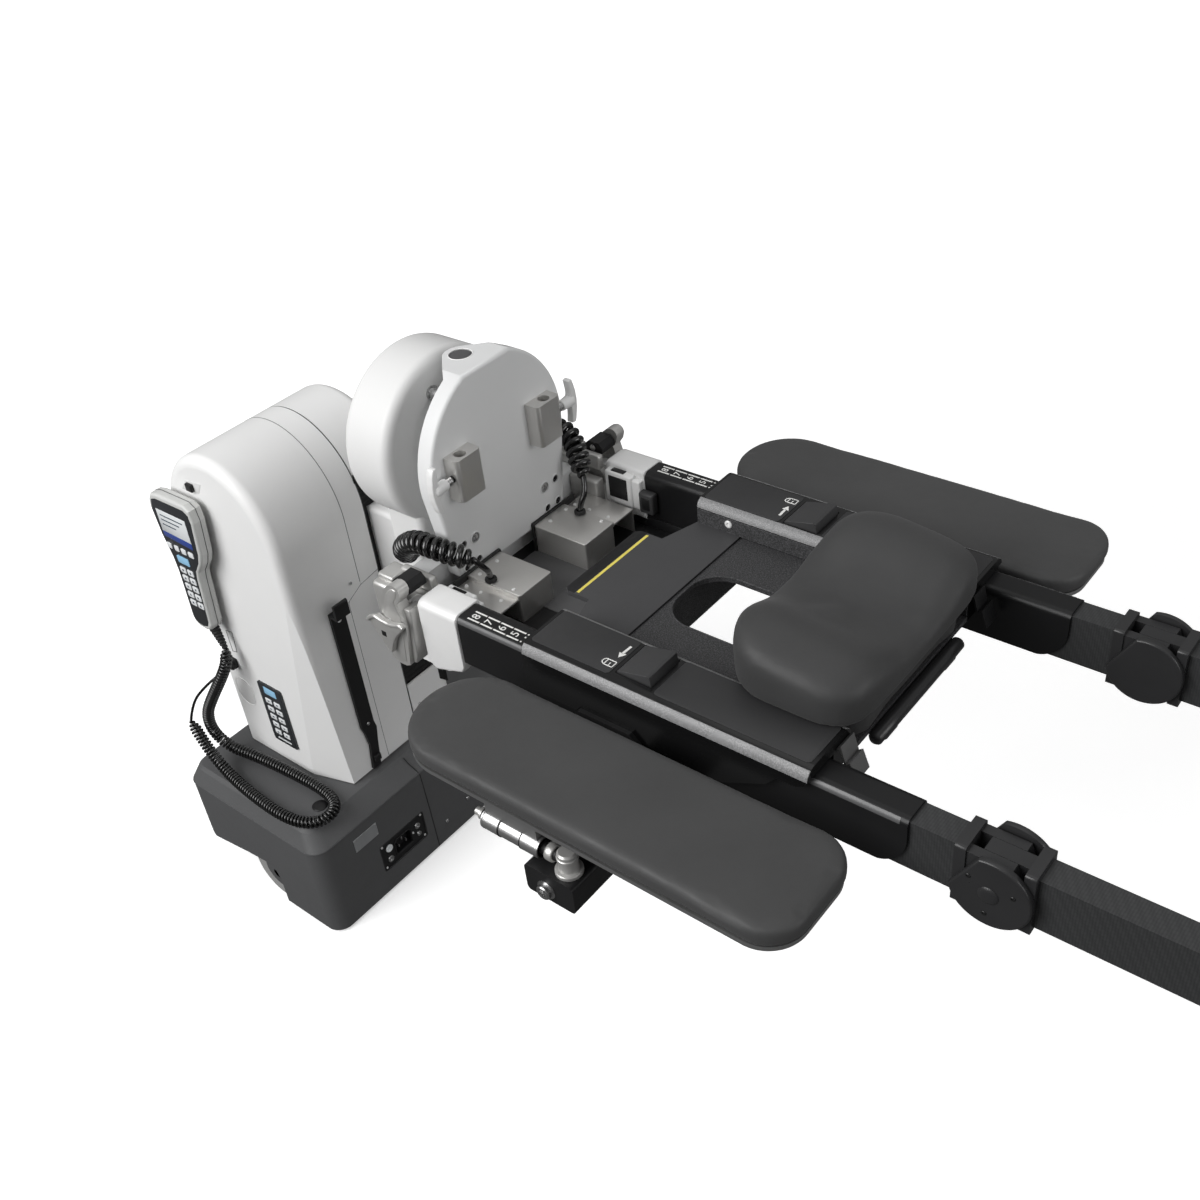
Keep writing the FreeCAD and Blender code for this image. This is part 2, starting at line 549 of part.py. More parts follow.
# flange folded down at the head side of the face opening
pan = fuse(pan, box(-532, -529, -118, 118, 803, PAN_BOT + 1))
save("trolley_pan", pan)
fp = [(-662, -74), (-655, -79), (-620, -79), (TROLLEY_X0, -SADDLE_IN), (-532, -SADDLE_IN), (-532, SADDLE_IN),
      (TROLLEY_X0, SADDLE_IN), (-620, 79), (-655, 79), (-662, 74)]
front = prism_xy(fp, PAN_BOT + 2, PAN_TOP + 2)
save("trolley_front_plate", front)
cb = box(TROLLEY_X1, -188, -100, 100, 848, 867.5)
cb = fil(cb, 3, lambda e: along(e, "y"))
save("crossbar", cb)


def button(sg):
    b = prism_xz([(-472, 897), (-472, 905), (-424, 913), (-422, 911), (-422, 897)], 150, 205)
    return my(b) if sg < 0 else b


save("release_button_near", button(-1))
save("release_button_far", button(1))

cp = fuse(rbox(-400, -192, -133, 133, PAN_TOP, 908, 30), rbox(-408, -184, -168, 168, 907.5, 950, 60),
          rbox(-385, -196, 62, 160, 949, 972, 40), rbox(-385, -196, -160, -62, 949, 972, 40))
save("chest_pad", cp)


def bracket():
    pl = prism_xz([(-526, 806), (-526, 835), (-516, 845), (-439, 845), (-428, 835), (-397, 796), (-397, 716), (-465, 716),
                   (-471, 770)], SADDLE_OUT, 232)
    arm = box(-462, -391, 231, 405, 734, 776)
    arm = fil(arm, 6, lambda e: along(e, "y"))
    pst = cylz(775, TILT_Z + 12, -411, TILT_Y, 11)
    ax = cylx(-536, -411, TILT_Y, TILT_Z, TILT_AXLE)
    return fuse(pl, arm, pst, ax)


save("arm_brackets", both(my(bracket())))


def stadium(x0, x1, y0, y1, z0, z1, r):
    return fuse(rbox(x0, x1 - 90, y0, y1, z0, z1, r), rbox(x0 + 200, x1, y0, y1, z0, z1, min(r, 46)))


def armboard(sg):
    x0 = ARM_X0 if sg < 0 else ARM_X0_FAR
    b = stadium(x0 + 4, ARM_X1 - 4, ARM_Y0 + 3, ARM_Y1 - 3, 839, 845, 72)
    seg = [cylx(-530, -504, TILT_Y, TILT_Z, TILT_R), cylx(-504, -471, TILT_Y, TILT_Z, TILT_R - 0.8),
           cylx(-471, -445, TILT_Y, TILT_Z, TILT_R)]
    web = box(-526, -449, TILT_Y - 6, TILT_Y + 6, TILT_Z + 5, 840)
    s = fuse(b, web, *seg)
    s = cut(s, cylx(-540, -440, TILT_Y, TILT_Z, TILT_AXLE + FIT))
    return my(s) if sg < 0 else s


def armpad(sg):
    p = stadium(ARM_X0 if sg < 0 else ARM_X0_FAR, ARM_X1, ARM_Y0, ARM_Y1, 845, 870, 75)
    p = fil(p, 6, lambda e: at(e.BoundBox.ZMin, 870))
    return my(p) if sg < 0 else p


save("armboard_near", armboard(-1))
save("armboard_far", armboard(1))
save("arm_pad_near", armpad(-1))
save("arm_pad_far", armpad(1))

# ------------------------------------------------------------------ foot end (plain, mirrored)
save("foot_rail_tubes", both(my(rtube(42, 721))))
save("foot_hinge_knuckles", both(my(knuckle())))
fc = fuse(prism_xz([(791, 800), (783, 788), (721, 800), (721, 892), (784, 892), (791, 886)], 173, 220),
          box(790, -PITCH_X, 188, 206, PITCH_Z - 16.5, PITCH_Z + 16.5), cyly(188, 206, -PITCH_X, PITCH_Z, 16.5))
fc = cut(fc, cyly(180, 215, -PITCH_X, PITCH_Z, PITCH_R + FIT))
save("foot_rail_caps", both(my(fc)))


def fclevis():
    parts = [box(846, 892, 150, 228, 812, 897)]
    for y0, y1 in ((176, 187.5), (206.5, 218)):
        parts.append(box(-PITCH_X, 847, y0, y1, PITCH_Z - 17, PITCH_Z + 17))
        parts.append(cyly(y0, y1, -PITCH_X, PITCH_Z, 17))
    parts.append(cyly(176, 218, -PITCH_X, PITCH_Z, PITCH_R))
    return fuse(*parts)


fy = fuse(mx(Part.Face(Part.Wire(e)).extrude(V(PLATE_X1 - PLATE_X0, 0, 0))), mx(sp), mx(box(-880, PLATE_X0, -168, 168, 800, 868)),
          fclevis(), my(fclevis()))
save("foot_yoke", fy)
fd = fuse(mx(drum), mx(fil(box(-1290, -981, 55, 113, 560, 735), 8, lambda e: along(e, "x"))),
          mx(cut(box(-1430, -1290, -70, 113, 570, 770),
                 box(TOWER_XC - 12 - 40.5, TOWER_XC - 12 + 40.5, -40.5, 40.5, 560, 780))))
save("foot_drum_housing", fd)
save("foot_base_cover", mx(base_cover(False)))
ft = mx(cut(full, SLOT))
save("foot_tower_shell", ft)
fg = fuse(mx(guide()), mx(chassis()), mx(feet().Solids[0]), mx(feet().Solids[1]))
save("foot_lift_guide", fg)
save("foot_wheel_near", mx(wheel(-1)))
save("foot_wheel_far", mx(wheel(1)))
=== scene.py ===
import bpy, bmesh, json, math
import numpy as np
from mathutils import Vector, Matrix, Quaternion

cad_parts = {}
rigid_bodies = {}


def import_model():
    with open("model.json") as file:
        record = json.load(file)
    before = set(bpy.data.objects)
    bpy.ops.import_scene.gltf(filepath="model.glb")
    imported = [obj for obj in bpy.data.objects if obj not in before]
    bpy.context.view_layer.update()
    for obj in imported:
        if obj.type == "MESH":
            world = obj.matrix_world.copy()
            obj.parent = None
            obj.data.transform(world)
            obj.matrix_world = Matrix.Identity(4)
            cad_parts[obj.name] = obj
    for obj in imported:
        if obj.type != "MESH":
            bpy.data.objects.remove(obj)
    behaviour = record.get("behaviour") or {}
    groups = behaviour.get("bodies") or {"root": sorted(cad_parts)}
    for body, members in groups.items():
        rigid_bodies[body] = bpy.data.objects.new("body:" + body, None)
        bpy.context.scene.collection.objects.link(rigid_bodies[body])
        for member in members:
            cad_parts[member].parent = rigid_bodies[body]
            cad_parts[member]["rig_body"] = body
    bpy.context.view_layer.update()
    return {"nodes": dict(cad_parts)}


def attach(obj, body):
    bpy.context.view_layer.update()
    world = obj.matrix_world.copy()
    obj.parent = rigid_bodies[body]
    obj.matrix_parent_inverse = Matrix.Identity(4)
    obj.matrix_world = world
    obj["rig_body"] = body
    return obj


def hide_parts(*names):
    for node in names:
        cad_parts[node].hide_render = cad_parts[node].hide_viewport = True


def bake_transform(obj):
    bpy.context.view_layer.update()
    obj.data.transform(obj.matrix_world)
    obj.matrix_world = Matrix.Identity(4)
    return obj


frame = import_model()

NODE = frame["nodes"]
scene = bpy.context.scene
MM = 0.001


# ================================================================= small tools
def link(o):
    scene.collection.objects.link(o)
    return o


def finish_mesh(o, mat, body, angle=35.0, smooth=True):
    me = o.data
    if mat is not None:
        me.materials.clear()
        me.materials.append(mat)
    if smooth:
        for p in me.polygons:
            p.use_smooth = True
        me.set_sharp_from_angle(angle=math.radians(angle))
    if body:
        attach(o, body)
    return o


def from_bm(name, bm, mat, body, angle=35.0):
    bmesh.ops.recalc_face_normals(bm, faces=bm.faces[:])
    me = bpy.data.meshes.new(name)
    bm.to_mesh(me)
    bm.free()
    return finish_mesh(link(bpy.data.objects.new(name, me)), mat, body, angle)


def from_data(name, verts, faces, mat, body, angle=35.0):
    me = bpy.data.meshes.new(name)
    me.from_pydata([tuple(v) for v in verts], [], faces)
    me.update()
    return finish_mesh(link(bpy.data.objects.new(name, me)), mat, body, angle)


def orient(axis):
    return Vector((0, 0, 1)).rotation_difference(Vector(axis).normalized()).to_matrix().to_4x4()


def rbox(name, lo, hi, r, mat, body, seg=3, rot=None):
    """Box between two corners (mm) with rounded edges; rot turns it about its centre."""
    lo, hi = Vector(lo) * MM, Vector(hi) * MM
    bm = bmesh.new()
    bmesh.ops.create_cube(bm, size=1.0)
    s = hi - lo
    bmesh.ops.transform(bm, matrix=Matrix.Diagonal((s.x, s.y, s.z, 1)), verts=bm.verts)
    if r > 0:
        bmesh.ops.bevel(bm, geom=bm.edges[:], offset=r * MM, segments=seg, profile=0.5, affect="EDGES")
    m = Matrix.Translation((lo + hi) / 2)
    if rot is not None:
        m = m @ rot
    bmesh.ops.transform(bm, matrix=m, verts=bm.verts)
    return from_bm(name, bm, mat, body)


def lathe(name, prof, p, axis, mat, body, seg=40, angle=35.0):
    """Turned piece. prof is (radius, height, sides) in mm along axis from p; sides 6 makes that ring a hexagon."""
    bm = bmesh.new()
    rings = []
    for item in prof:
        r, h = item[0], item[1]
        n = item[2] if len(item) > 2 else 0
        if r <= 1e-6:
            rings.append([bm.verts.new((0, 0, h * MM))])
            continue
        ring = []
        for i in range(seg):
            a = 2 * math.pi * i / seg
            k = 1.0
            if n:
                w = 2 * math.pi / n
                k = math.cos(w / 2) / math.cos((a % w) - w / 2)
            ring.append(bm.verts.new((r * k * math.cos(a) * MM, r * k * math.sin(a) * MM, h * MM)))
        rings.append(ring)
    for a, b in zip(rings, rings[1:]):
        if len(a) == 1 and len(b) == 1:
            continue
        for i in range(seg):
            j = (i + 1) % seg
            if len(a) == 1:
                bm.faces.new((a[0], b[j], b[i]))
            elif len(b) == 1:
                bm.faces.new((a[i], a[j], b[0]))
            else:
                bm.faces.new((a[i], a[j], b[j], b[i]))
    bmesh.ops.transform(bm, matrix=Matrix.Translation(Vector(p) * MM) @ orient(axis), verts=bm.verts)
    return from_bm(name, bm, mat, body, angle)


def screw(name, p, axis, r, mat, body, h=None):
    h = h if h else r * 0.55
    return lathe(name, [(0, h * 0.25), (r * 0.36, h * 0.25, 6), (r * 0.40, h * 0.92, 6), (r * 0.46, h), (r * 0.74, h),
                        (r * 0.93, h * 0.72), (r, h * 0.35), (r, -0.4), (0, -0.4)], p, axis, mat, body, 36)


def prism(name, pts, plane, a0, a1, mat, body, bev=0.0, seg=2, angle=35.0):
    """Flat outline (mm) extruded between two heights (mm), edges rounded."""
    bm = bmesh.new()

    def pt(p, a):
        q = {"xz": (p[0], a, p[1]), "yz": (a, p[0], p[1]), "xy": (p[0], p[1], a)}[plane]
        return Vector(q) * MM
    lo = [bm.verts.new(pt(p, a0)) for p in pts]
    hi = [bm.verts.new(pt(p, a1)) for p in pts]
    bm.faces.new(lo)
    bm.faces.new(hi[::-1])
    n = len(pts)
    for i in range(n):
        bm.faces.new((lo[i], hi[i], hi[(i + 1) % n], lo[(i + 1) % n]))
    if bev > 0:
        bmesh.ops.recalc_face_normals(bm, faces=bm.faces[:])
        hv = set(hi)
        e = [x for x in bm.edges if x.verts[0] in hv and x.verts[1] in hv]
        bmesh.ops.bevel(bm, geom=e, offset=bev * MM, segments=seg, profile=0.5, affect="EDGES")
    return from_bm(name, bm, mat, body, angle)


def arc_pts(cx, cy, r, a0, a1, n):
    return [(cx + r * math.cos(math.radians(a0 + (a1 - a0) * i / n)),
             cy + r * math.sin(math.radians(a0 + (a1 - a0) * i / n))) for i in range(n + 1)]


def rrect_pts(x0, x1, y0, y1, r, n=6):
    return (arc_pts(x1 - r, y1 - r, r, 0, 90, n) + arc_pts(x0 + r, y1 - r, r, 90, 180, n)
            + arc_pts(x0 + r, y0 + r, r, 180, 270, n) + arc_pts(x1 - r, y0 + r, r, 270, 360, n))


def sweep(name, path, radius, mat, body, sides=8, closed=False):
    """Round tube (metres) along points; returns the object."""
    P = np.asarray(path, float)
    T = np.gradient(P, axis=0)
    T /= np.linalg.norm(T, axis=1)[:, None]
    n = np.cross(T[0], (0, 0, 1.0))
    if np.linalg.norm(n) < 1e-4:
        n = np.cross(T[0], (1.0, 0, 0))
    n /= np.linalg.norm(n)
    verts = []
    rad = np.broadcast_to(np.asarray(radius, float), (len(P),))
    ca = [(math.cos(2 * math.pi * k / sides), math.sin(2 * math.pi * k / sides)) for k in range(sides)]
    for i in range(len(P)):
        n = n - T[i] * np.dot(n, T[i])
        n /= np.linalg.norm(n)
        b = np.cross(T[i], n)
        for c, s in ca:
            verts.append(P[i] + rad[i] * (c * n + s * b))
    faces = []
    for i in range(len(P) - 1):
        for k in range(sides):
            k2 = (k + 1) % sides
            faces.append((i * sides + k, i * sides + k2, (i + 1) * sides + k2, (i + 1) * sides + k))
    faces.append(tuple(range(sides))[::-1])
    faces.append(tuple((len(P) - 1) * sides + k for k in range(sides)))
    return from_data(name, verts, faces, mat, body, 60)


# ================================================================= materials
def new_mat(name):
    m = bpy.data.materials.new(name)
    m.use_nodes = True
    nt = m.node_tree
    return m, nt, nt.nodes["Principled BSDF"]


def N_(nt, kind, **props):
    n = nt.nodes.new(kind)
    for k, v in props.items():
        setattr(n, k, v)
    return n


def noise(nt, vec, scale, detail=3.0, rough=0.55):
    n = N_(nt, "ShaderNodeTexNoise")
    n.inputs["Scale"].default_value = scale
    n.inputs["Detail"].default_value = detail
    n.inputs["Roughness"].default_value = rough
    nt.links.new(vec, n.inputs["Vector"])
    return n.outputs["Fac"]


def ramp(nt, fac, lo, hi, a=0.3, b=0.7):
    n = N_(nt, "ShaderNodeMapRange")
    n.inputs["From Min"].default_value = a
    n.inputs["From Max"].default_value = b
    n.inputs["To Min"].default_value = lo
    n.inputs["To Max"].default_value = hi
    nt.links.new(fac, n.inputs["Value"])
    return n.outputs["Result"]


def mixc(nt, fac, c0, c1):
    n = N_(nt, "ShaderNodeMix", data_type="RGBA")
    for s, c in (("A", c0), ("B", c1)):
        sock = [i for i in n.inputs if i.name == s and i.type == "RGBA"][0]
        if isinstance(c, (tuple, list)):
            sock.default_value = (*c[:3], 1.0)
        else:
            nt.links.new(c, sock)
    nt.links.new(fac, [i for i in n.inputs if i.name == "Factor" and i.type == "VALUE"][0])
    return [o for o in n.outputs if o.type == "RGBA"][0]


def coords(nt, scale=(1, 1, 1)):
    t = N_(nt, "ShaderNodeTexCoord")
    m = N_(nt, "ShaderNodeMapping")
    m.inputs["Scale"].default_value = scale
    nt.links.new(t.outputs["Object"], m.inputs["Vector"])
    return m.outputs["Vector"]


def surf(name, color, rough=0.45, metal=0.0, var=0.05, vscale=9.0, rvar=0.06, bump=0.0, bscale=700.0, dist=0.0004,
         spec=0.5, coat=0.0, coat_rough=0.15, speck=0.0, sscale=1500.0, stretch=(1, 1, 1), sheen=0.0):
    """General painted, moulded or metal surface: broad tone variation, roughness variation and fine grain."""
    m, nt, b = new_mat(name)
    v = coords(nt, stretch)
    c0 = tuple(max(0.0, x * (1 - var)) for x in color)
    c1 = tuple(min(1.0, x * (1 + var)) for x in color)
    col = mixc(nt, ramp(nt, noise(nt, v, vscale, 4), 0, 1), c0, c1)
    if speck:
        s = ramp(nt, noise(nt, v, sscale, 2), 0, 1, 0.42, 0.68)
        col = mixc(nt, s, col, tuple(min(1.0, x * (1 + speck)) for x in color))
    nt.links.new(col, b.inputs["Base Color"])
    nt.links.new(ramp(nt, noise(nt, v, vscale * 2.7, 3), rough - rvar, rough + rvar), b.inputs["Roughness"])
    if bump:
        bn = N_(nt, "ShaderNodeBump")
        bn.inputs["Strength"].default_value = bump
        bn.inputs["Distance"].default_value = dist
        nt.links.new(noise(nt, v, bscale, 2), bn.inputs["Height"])
        nt.links.new(bn.outputs["Normal"], b.inputs["Normal"])
    b.inputs["Metallic"].default_value = metal
    b.inputs["Specular IOR Level"].default_value = spec
    if coat:
        b.inputs["Coat Weight"].default_value = coat
        b.inputs["Coat Roughness"].default_value = coat_rough
    if sheen:
        b.inputs["Sheen Weight"].default_value = sheen
        b.inputs["Sheen Roughness"].default_value = 0.4
    return m


def weave_mat(name):
    """Woven carbon fibre: two crossing ribs in a 2 by 2 twill."""
    m, nt, b = new_mat(name)
    v = coords(nt)
    sep = N_(nt, "ShaderNodeSeparateXYZ")
    nt.links.new(v, sep.inputs[0])

    def mth(op, a, c, d=None):
        n = N_(nt, "ShaderNodeMath", operation=op)
        for i, x in enumerate((a, c, d)):
            if x is None:
                continue
            if isinstance(x, (int, float)):
                n.inputs[i].default_value = x
            else:
                nt.links.new(x, n.inputs[i])
        return n.outputs[0]
    pitch = 0.0030
    yz = mth("ADD", sep.outputs[1], sep.outputs[2])
    u = mth("DIVIDE", sep.outputs[0], pitch)
    w = mth("DIVIDE", yz, pitch * 1.6)
    tw = mth("FRACT", mth("MULTIPLY", mth("ADD", mth("FLOOR", u, 0), mth("FLOOR", w, 0)), 0.25), 0)
    pick = mth("GREATER_THAN", tw, 0.49)
    ru = mth("ABSOLUTE", mth("SUBTRACT", mth("FRACT", u, 0), 0.5), 0)
    rw = mth("ABSOLUTE", mth("SUBTRACT", mth("FRACT", w, 0), 0.5), 0)
    h = mth("ADD", mth("MULTIPLY", ru, 0.8), mth("MULTIPLY", rw, 0.25))
    f = mth("ADD", mth("MULTIPLY", h, 1.3), mth("MULTIPLY", pick, 0.22))
    col = mixc(nt, f, (0.047, 0.048, 0.049), (0.026, 0.0265, 0.0275))
    nt.links.new(col, b.inputs["Base Color"])
    bn = N_(nt, "ShaderNodeBump", invert=True)
    bn.inputs["Strength"].default_value = 0.22
    bn.inputs["Distance"].default_value = 0.0004
    nt.links.new(h, bn.inputs["Height"])
    nt.links.new(bn.outputs["Normal"], b.inputs["Normal"])
    nt.links.new(ramp(nt, noise(nt, v, 40), 0.36, 0.5), b.inputs["Roughness"])
    b.inputs["Specular IOR Level"].default_value = 0.4
    return m


def vinyl_mat(name, color=(0.043, 0.0432, 0.0435)):
    """Matt dark grey upholstery with a fine leather grain."""
    m, nt, b = new_mat(name)
    v = coords(nt)
    col = mixc(nt, ramp(nt, noise(nt, v, 7, 4), 0, 1), tuple(x * 0.9 for x in color), tuple(x * 1.1 for x in color))
    nt.links.new(col, b.inputs["Base Color"])
    vo = N_(nt, "ShaderNodeTexVoronoi", feature="DISTANCE_TO_EDGE")
    vo.inputs["Scale"].default_value = 620
    nt.links.new(v, vo.inputs["Vector"])
    fine = noise(nt, v, 1500, 2)
    add = N_(nt, "ShaderNodeMath", operation="MULTIPLY_ADD")
    nt.links.new(fine, add.inputs[0])
    add.inputs[1].default_value = 0.35
    nt.links.new(vo.outputs["Distance"], add.inputs[2])
    bn = N_(nt, "ShaderNodeBump")
    bn.inputs["Strength"].default_value = 0.22
    bn.inputs["Distance"].default_value = 0.0005
    nt.links.new(add.outputs[0], bn.inputs["Height"])
    nt.links.new(bn.outputs["Normal"], b.inputs["Normal"])
    nt.links.new(ramp(nt, noise(nt, v, 22, 3), 0.50, 0.64), b.inputs["Roughness"])
    b.inputs["Specular IOR Level"].default_value = 0.42
    b.inputs["Sheen Weight"].default_value = 0.08
    b.inputs["Sheen Roughness"].default_value = 0.5
    return m


M = {
    # painted shade: the drum's white is set darker than the shell's white so the side the key light falls on does not
    # burn out
    "drum": surf("drum_paint_shaded", (0.765, 0.765, 0.76), 0.44, var=0.012, rvar=0.04, bump=0.05, bscale=900, spec=0.36),
    "shell": surf("shell_paint", (0.86, 0.86, 0.855), 0.42, var=0.012, rvar=0.04, bump=0.05, bscale=900, spec=0.4),
    "base": surf("base_moulding", (0.085, 0.086, 0.088), 0.55, var=0.05, bump=0.12, bscale=1400, speck=0.25, spec=0.35),
    "frame": surf("frame_paint", (0.05, 0.05, 0.052), 0.5, bump=0.08),
    "ground": surf("ground_steel", (0.55, 0.55, 0.55), 0.28, metal=1.0, var=0.08, stretch=(1, 1, 0.05), vscale=300),
    "plate": surf("plate_paint", (0.74, 0.745, 0.745), 0.46, var=0.015, bump=0.08, bscale=1200, spec=0.35),
    "stainless": surf("brushed_stainless", (0.66, 0.65, 0.63), 0.36, metal=0.78, var=0.025, vscale=1500, rvar=0.04,
                      stretch=(1.0, 1.0, 0.02), bump=0.02, bscale=1500),
    "box_steel": surf("box_stainless", (0.62, 0.61, 0.59), 0.38, metal=0.72, var=0.022, vscale=1500, rvar=0.04,
                      stretch=(0.02, 1.0, 1.0), bump=0.02, bscale=1500),
    "cast": surf("cast_aluminium", (0.56, 0.555, 0.54), 0.38, metal=0.6, var=0.05, vscale=30, bump=0.06, bscale=900),
    "silver": surf("silver_paint", (0.80, 0.80, 0.795), 0.38, metal=0.08, var=0.03, vscale=20, bump=0.03, bscale=1500,
                   spec=0.5),
    "black": surf("black_satin", (0.010, 0.010, 0.0105), 0.42, var=0.15, bump=0.04, bscale=1400, spec=0.35),
    "sleeve": surf("sleeve_black", (0.009, 0.009, 0.0095), 0.36, var=0.12, bump=0.03, bscale=1600, spec=0.32),
    "saddle": surf("saddle_coat", (0.006, 0.006, 0.0062), 0.20, var=0.08, rvar=0.03, bump=0.05, bscale=700, spec=0.5),
    # painted highlight: the next two lighter coats go on thin strips over the saddles' and sleeves' rounded edges and
    # stand in for the key light's reflection there
    "painted_highlight_band": surf("edge_painted_highlight_coat", (0.17, 0.17, 0.172), 0.46, var=0.10, bump=0.5, bscale=800, dist=0.0006, spec=0.6, speck=0.9,
                      sscale=750),
    "sleeve_painted_highlight": surf("sleeve_edge_coat", (0.085, 0.085, 0.087), 0.36, var=0.08, bump=0.05, bscale=1200, spec=0.55),
    "pan": surf("pan_powder_coat", (0.026, 0.026, 0.027), 0.50, var=0.06, bump=0.7, bscale=620, dist=0.0012, speck=2.4,
                sscale=560, spec=0.40),
    "front": surf("front_plate_coat", (0.058, 0.058, 0.060), 0.45, var=0.04, bump=0.06, bscale=1500, spec=0.35),
    "rubber": surf("cord_rubber", (0.008, 0.008, 0.008), 0.15, var=0.2, rvar=0.03, bump=0.02, spec=0.8),
    "seal": surf("seal_rubber", (0.012, 0.012, 0.012), 0.55, var=0.2, bump=0.1, bscale=900),
    "wheel": surf("wheel_tread", (0.34, 0.34, 0.335), 0.5, var=0.05, bump=0.1, bscale=900),
    "handset": surf("handset_shell_plastic", (0.62, 0.625, 0.61), 0.36, var=0.015, bump=0.06, bscale=1500),
    "fascia": surf("handset_fascia", (0.028, 0.030, 0.033), 0.35, var=0.1, bump=0.03, bscale=1500),
    "key": surf("key_white", (0.78, 0.80, 0.81), 0.4, var=0.03, bump=0.05, bscale=1500),
    "key_blue": surf("key_blue", (0.30, 0.56, 0.78), 0.4, var=0.04, bump=0.05, bscale=1500),
    "screen": surf("screen_glass", (0.82, 0.85, 0.86), 0.12, var=0.02, coat=0.6, coat_rough=0.03),
    "screen_bar": surf("screen_bar", (0.035, 0.07, 0.30), 0.15, var=0.05, coat=0.6, coat_rough=0.03),
    "screen_ink": surf("screen_ink", (0.08, 0.10, 0.13), 0.3, var=0.1),
    "white_ink": surf("white_ink", (0.82, 0.82, 0.80), 0.5, var=0.04, vscale=200),
    "yellow": surf("yellow_stripe", (0.80, 0.68, 0.13), 0.45, var=0.05, vscale=60),
    "grey_plate": surf("bare_plate", (0.42, 0.43, 0.44), 0.4, metal=0.6, var=0.04, vscale=80, stretch=(1, 1, 0.05)),
    "arm": surf("arm_coat", (0.045, 0.045, 0.047), 0.5, var=0.06, bump=0.12, bscale=1300),
    "dark_metal": surf("dark_socket", (0.05, 0.05, 0.05), 0.35, metal=0.8, var=0.1),
    "board": surf("board_edge", (0.46, 0.46, 0.46), 0.34, metal=0.9, var=0.05, vscale=120, stretch=(0.05, 1, 1)),
    "hinge": surf("hinge_black", (0.026, 0.026, 0.027), 0.33, var=0.10, bump=0.05, bscale=1100, spec=0.45),
    "film": surf("saddle_film", (0.036, 0.036, 0.037), 0.46, var=0.05, bump=0.05, bscale=1800, spec=0.35),
    "button": surf("button_plastic", (0.042, 0.042, 0.043), 0.44, var=0.05, bump=0.10, bscale=1500, spec=0.4),
    "fold": surf("fold_sheet", (0.16, 0.16, 0.16), 0.4, metal=0.4, var=0.06, bump=0.04, bscale=1200),
    "plug": surf("plug_grey", (0.085, 0.085, 0.087), 0.5, var=0.04, bump=0.05, bscale=1500, spec=0.35),
    "tray": surf("tray_coat", (0.105, 0.105, 0.107), 0.5, var=0.04, bump=0.05, bscale=1500, spec=0.3),
    "joint": surf("joint_shadow", (0.11, 0.11, 0.11), 0.6, var=0.1, vscale=60, spec=0.2),
    "bellows": surf("slot_bellows", (0.013, 0.013, 0.013), 0.6, var=0.03, vscale=40, bump=0.05, spec=0.25),
    "dish": surf("dish_paint", (0.70, 0.70, 0.695), 0.5, var=0.015, vscale=20, bump=0.05, bscale=900, spec=0.35),
    "carbon": weave_mat("carbon_weave"),
    "vinyl": vinyl_mat("pad_vinyl", (0.0485, 0.0487, 0.049)),
    "vinyl_chest": vinyl_mat("chest_vinyl", (0.0375, 0.0376, 0.038)),
}

NODE_MAT = {
    "head_base_cover": "base", "head_chassis": "frame", "head_floor_feet": "seal", "tower_near_shell": "shell",
    "tower_far_shell": "shell", "tower_front_panel": "shell", "head_lift_guide": "ground", "cord_hook_bar": "black",
    "column_keypad": "fascia", "power_inlet": "black", "handset_shell": "handset", "handset_relief": "seal",
    "head_wheel_near": "wheel", "head_wheel_far": "wheel", "head_carriage": "shell", "drum_housing": "drum",
    "face_plate": "plate", "roll_spindle": "ground", "cross_beam": "plate", "latch_clevises": "cast",
    "pin_posts": "stainless", "sensor_boxes": "box_steel", "yoke_tray": "black", "plate_bolts": "ground",
    "t_handle_near": "cast", "t_handle_far": "cast", "latch_grip_near": "black", "latch_grip_far": "black",
    "latch_lever_near": "cast", "latch_lever_far": "cast", "rail_caps": "silver", "rail_sleeves": "sleeve",
    "head_rail_tubes": "carbon", "hinge_forks": "hinge", "trolley_saddles": "saddle", "trolley_pan": "pan",
    "trolley_front_plate": "front", "chest_pad": "vinyl", "crossbar": "hinge", "arm_brackets": "black",
    "release_button_near": "button", "release_button_far": "button", "armboard_near": "board", "armboard_far": "board",
    "arm_pad_near": "vinyl", "arm_pad_far": "vinyl", "foot_rail_tubes": "carbon", "foot_hinge_knuckles": "hinge",
    "foot_rail_caps": "silver", "foot_yoke": "plate", "foot_drum_housing": "drum", "foot_base_cover": "base",
    "foot_tower_shell": "shell", "foot_lift_guide": "frame", "foot_wheel_near": "wheel", "foot_wheel_far": "wheel",
    "handset_cord": "rubber", "coil_cord_near": "rubber", "coil_cord_far": "rubber",
}
for node, key in NODE_MAT.items():
    o = NODE[node]
    for s in o.material_slots:
        s.material = M[key]

# ================================================================= camera
A, E, R = math.radians(42.854), math.radians(36.888), math.radians(-6.915)
back = Vector((math.sin(A) * math.cos(E), -math.cos(A) * math.cos(E), math.sin(E)))
right = Vector((math.cos(A), math.sin(A), 0))
up = back.cross(right)
r2 = math.cos(R) * right + math.sin(R) * up
u2 = -math.sin(R) * right + math.cos(R) * up
cd = bpy.data.cameras.new("camera")
cd.sensor_fit = "HORIZONTAL"
cd.sensor_width = 36.0
cd.lens = 36.0 * 1329.2 / 1200.0
cd.clip_end = 100
cam = link(bpy.data.objects.new("camera", cd))
mw = Matrix.Identity(4)
for i, c in enumerate((r2, u2, back)):
    for k in range(3):
        mw[k][i] = c[k]
mw.translation = Vector((0.318, -1.069, 1.890))
cam.matrix_world = mw
scene.camera = cam


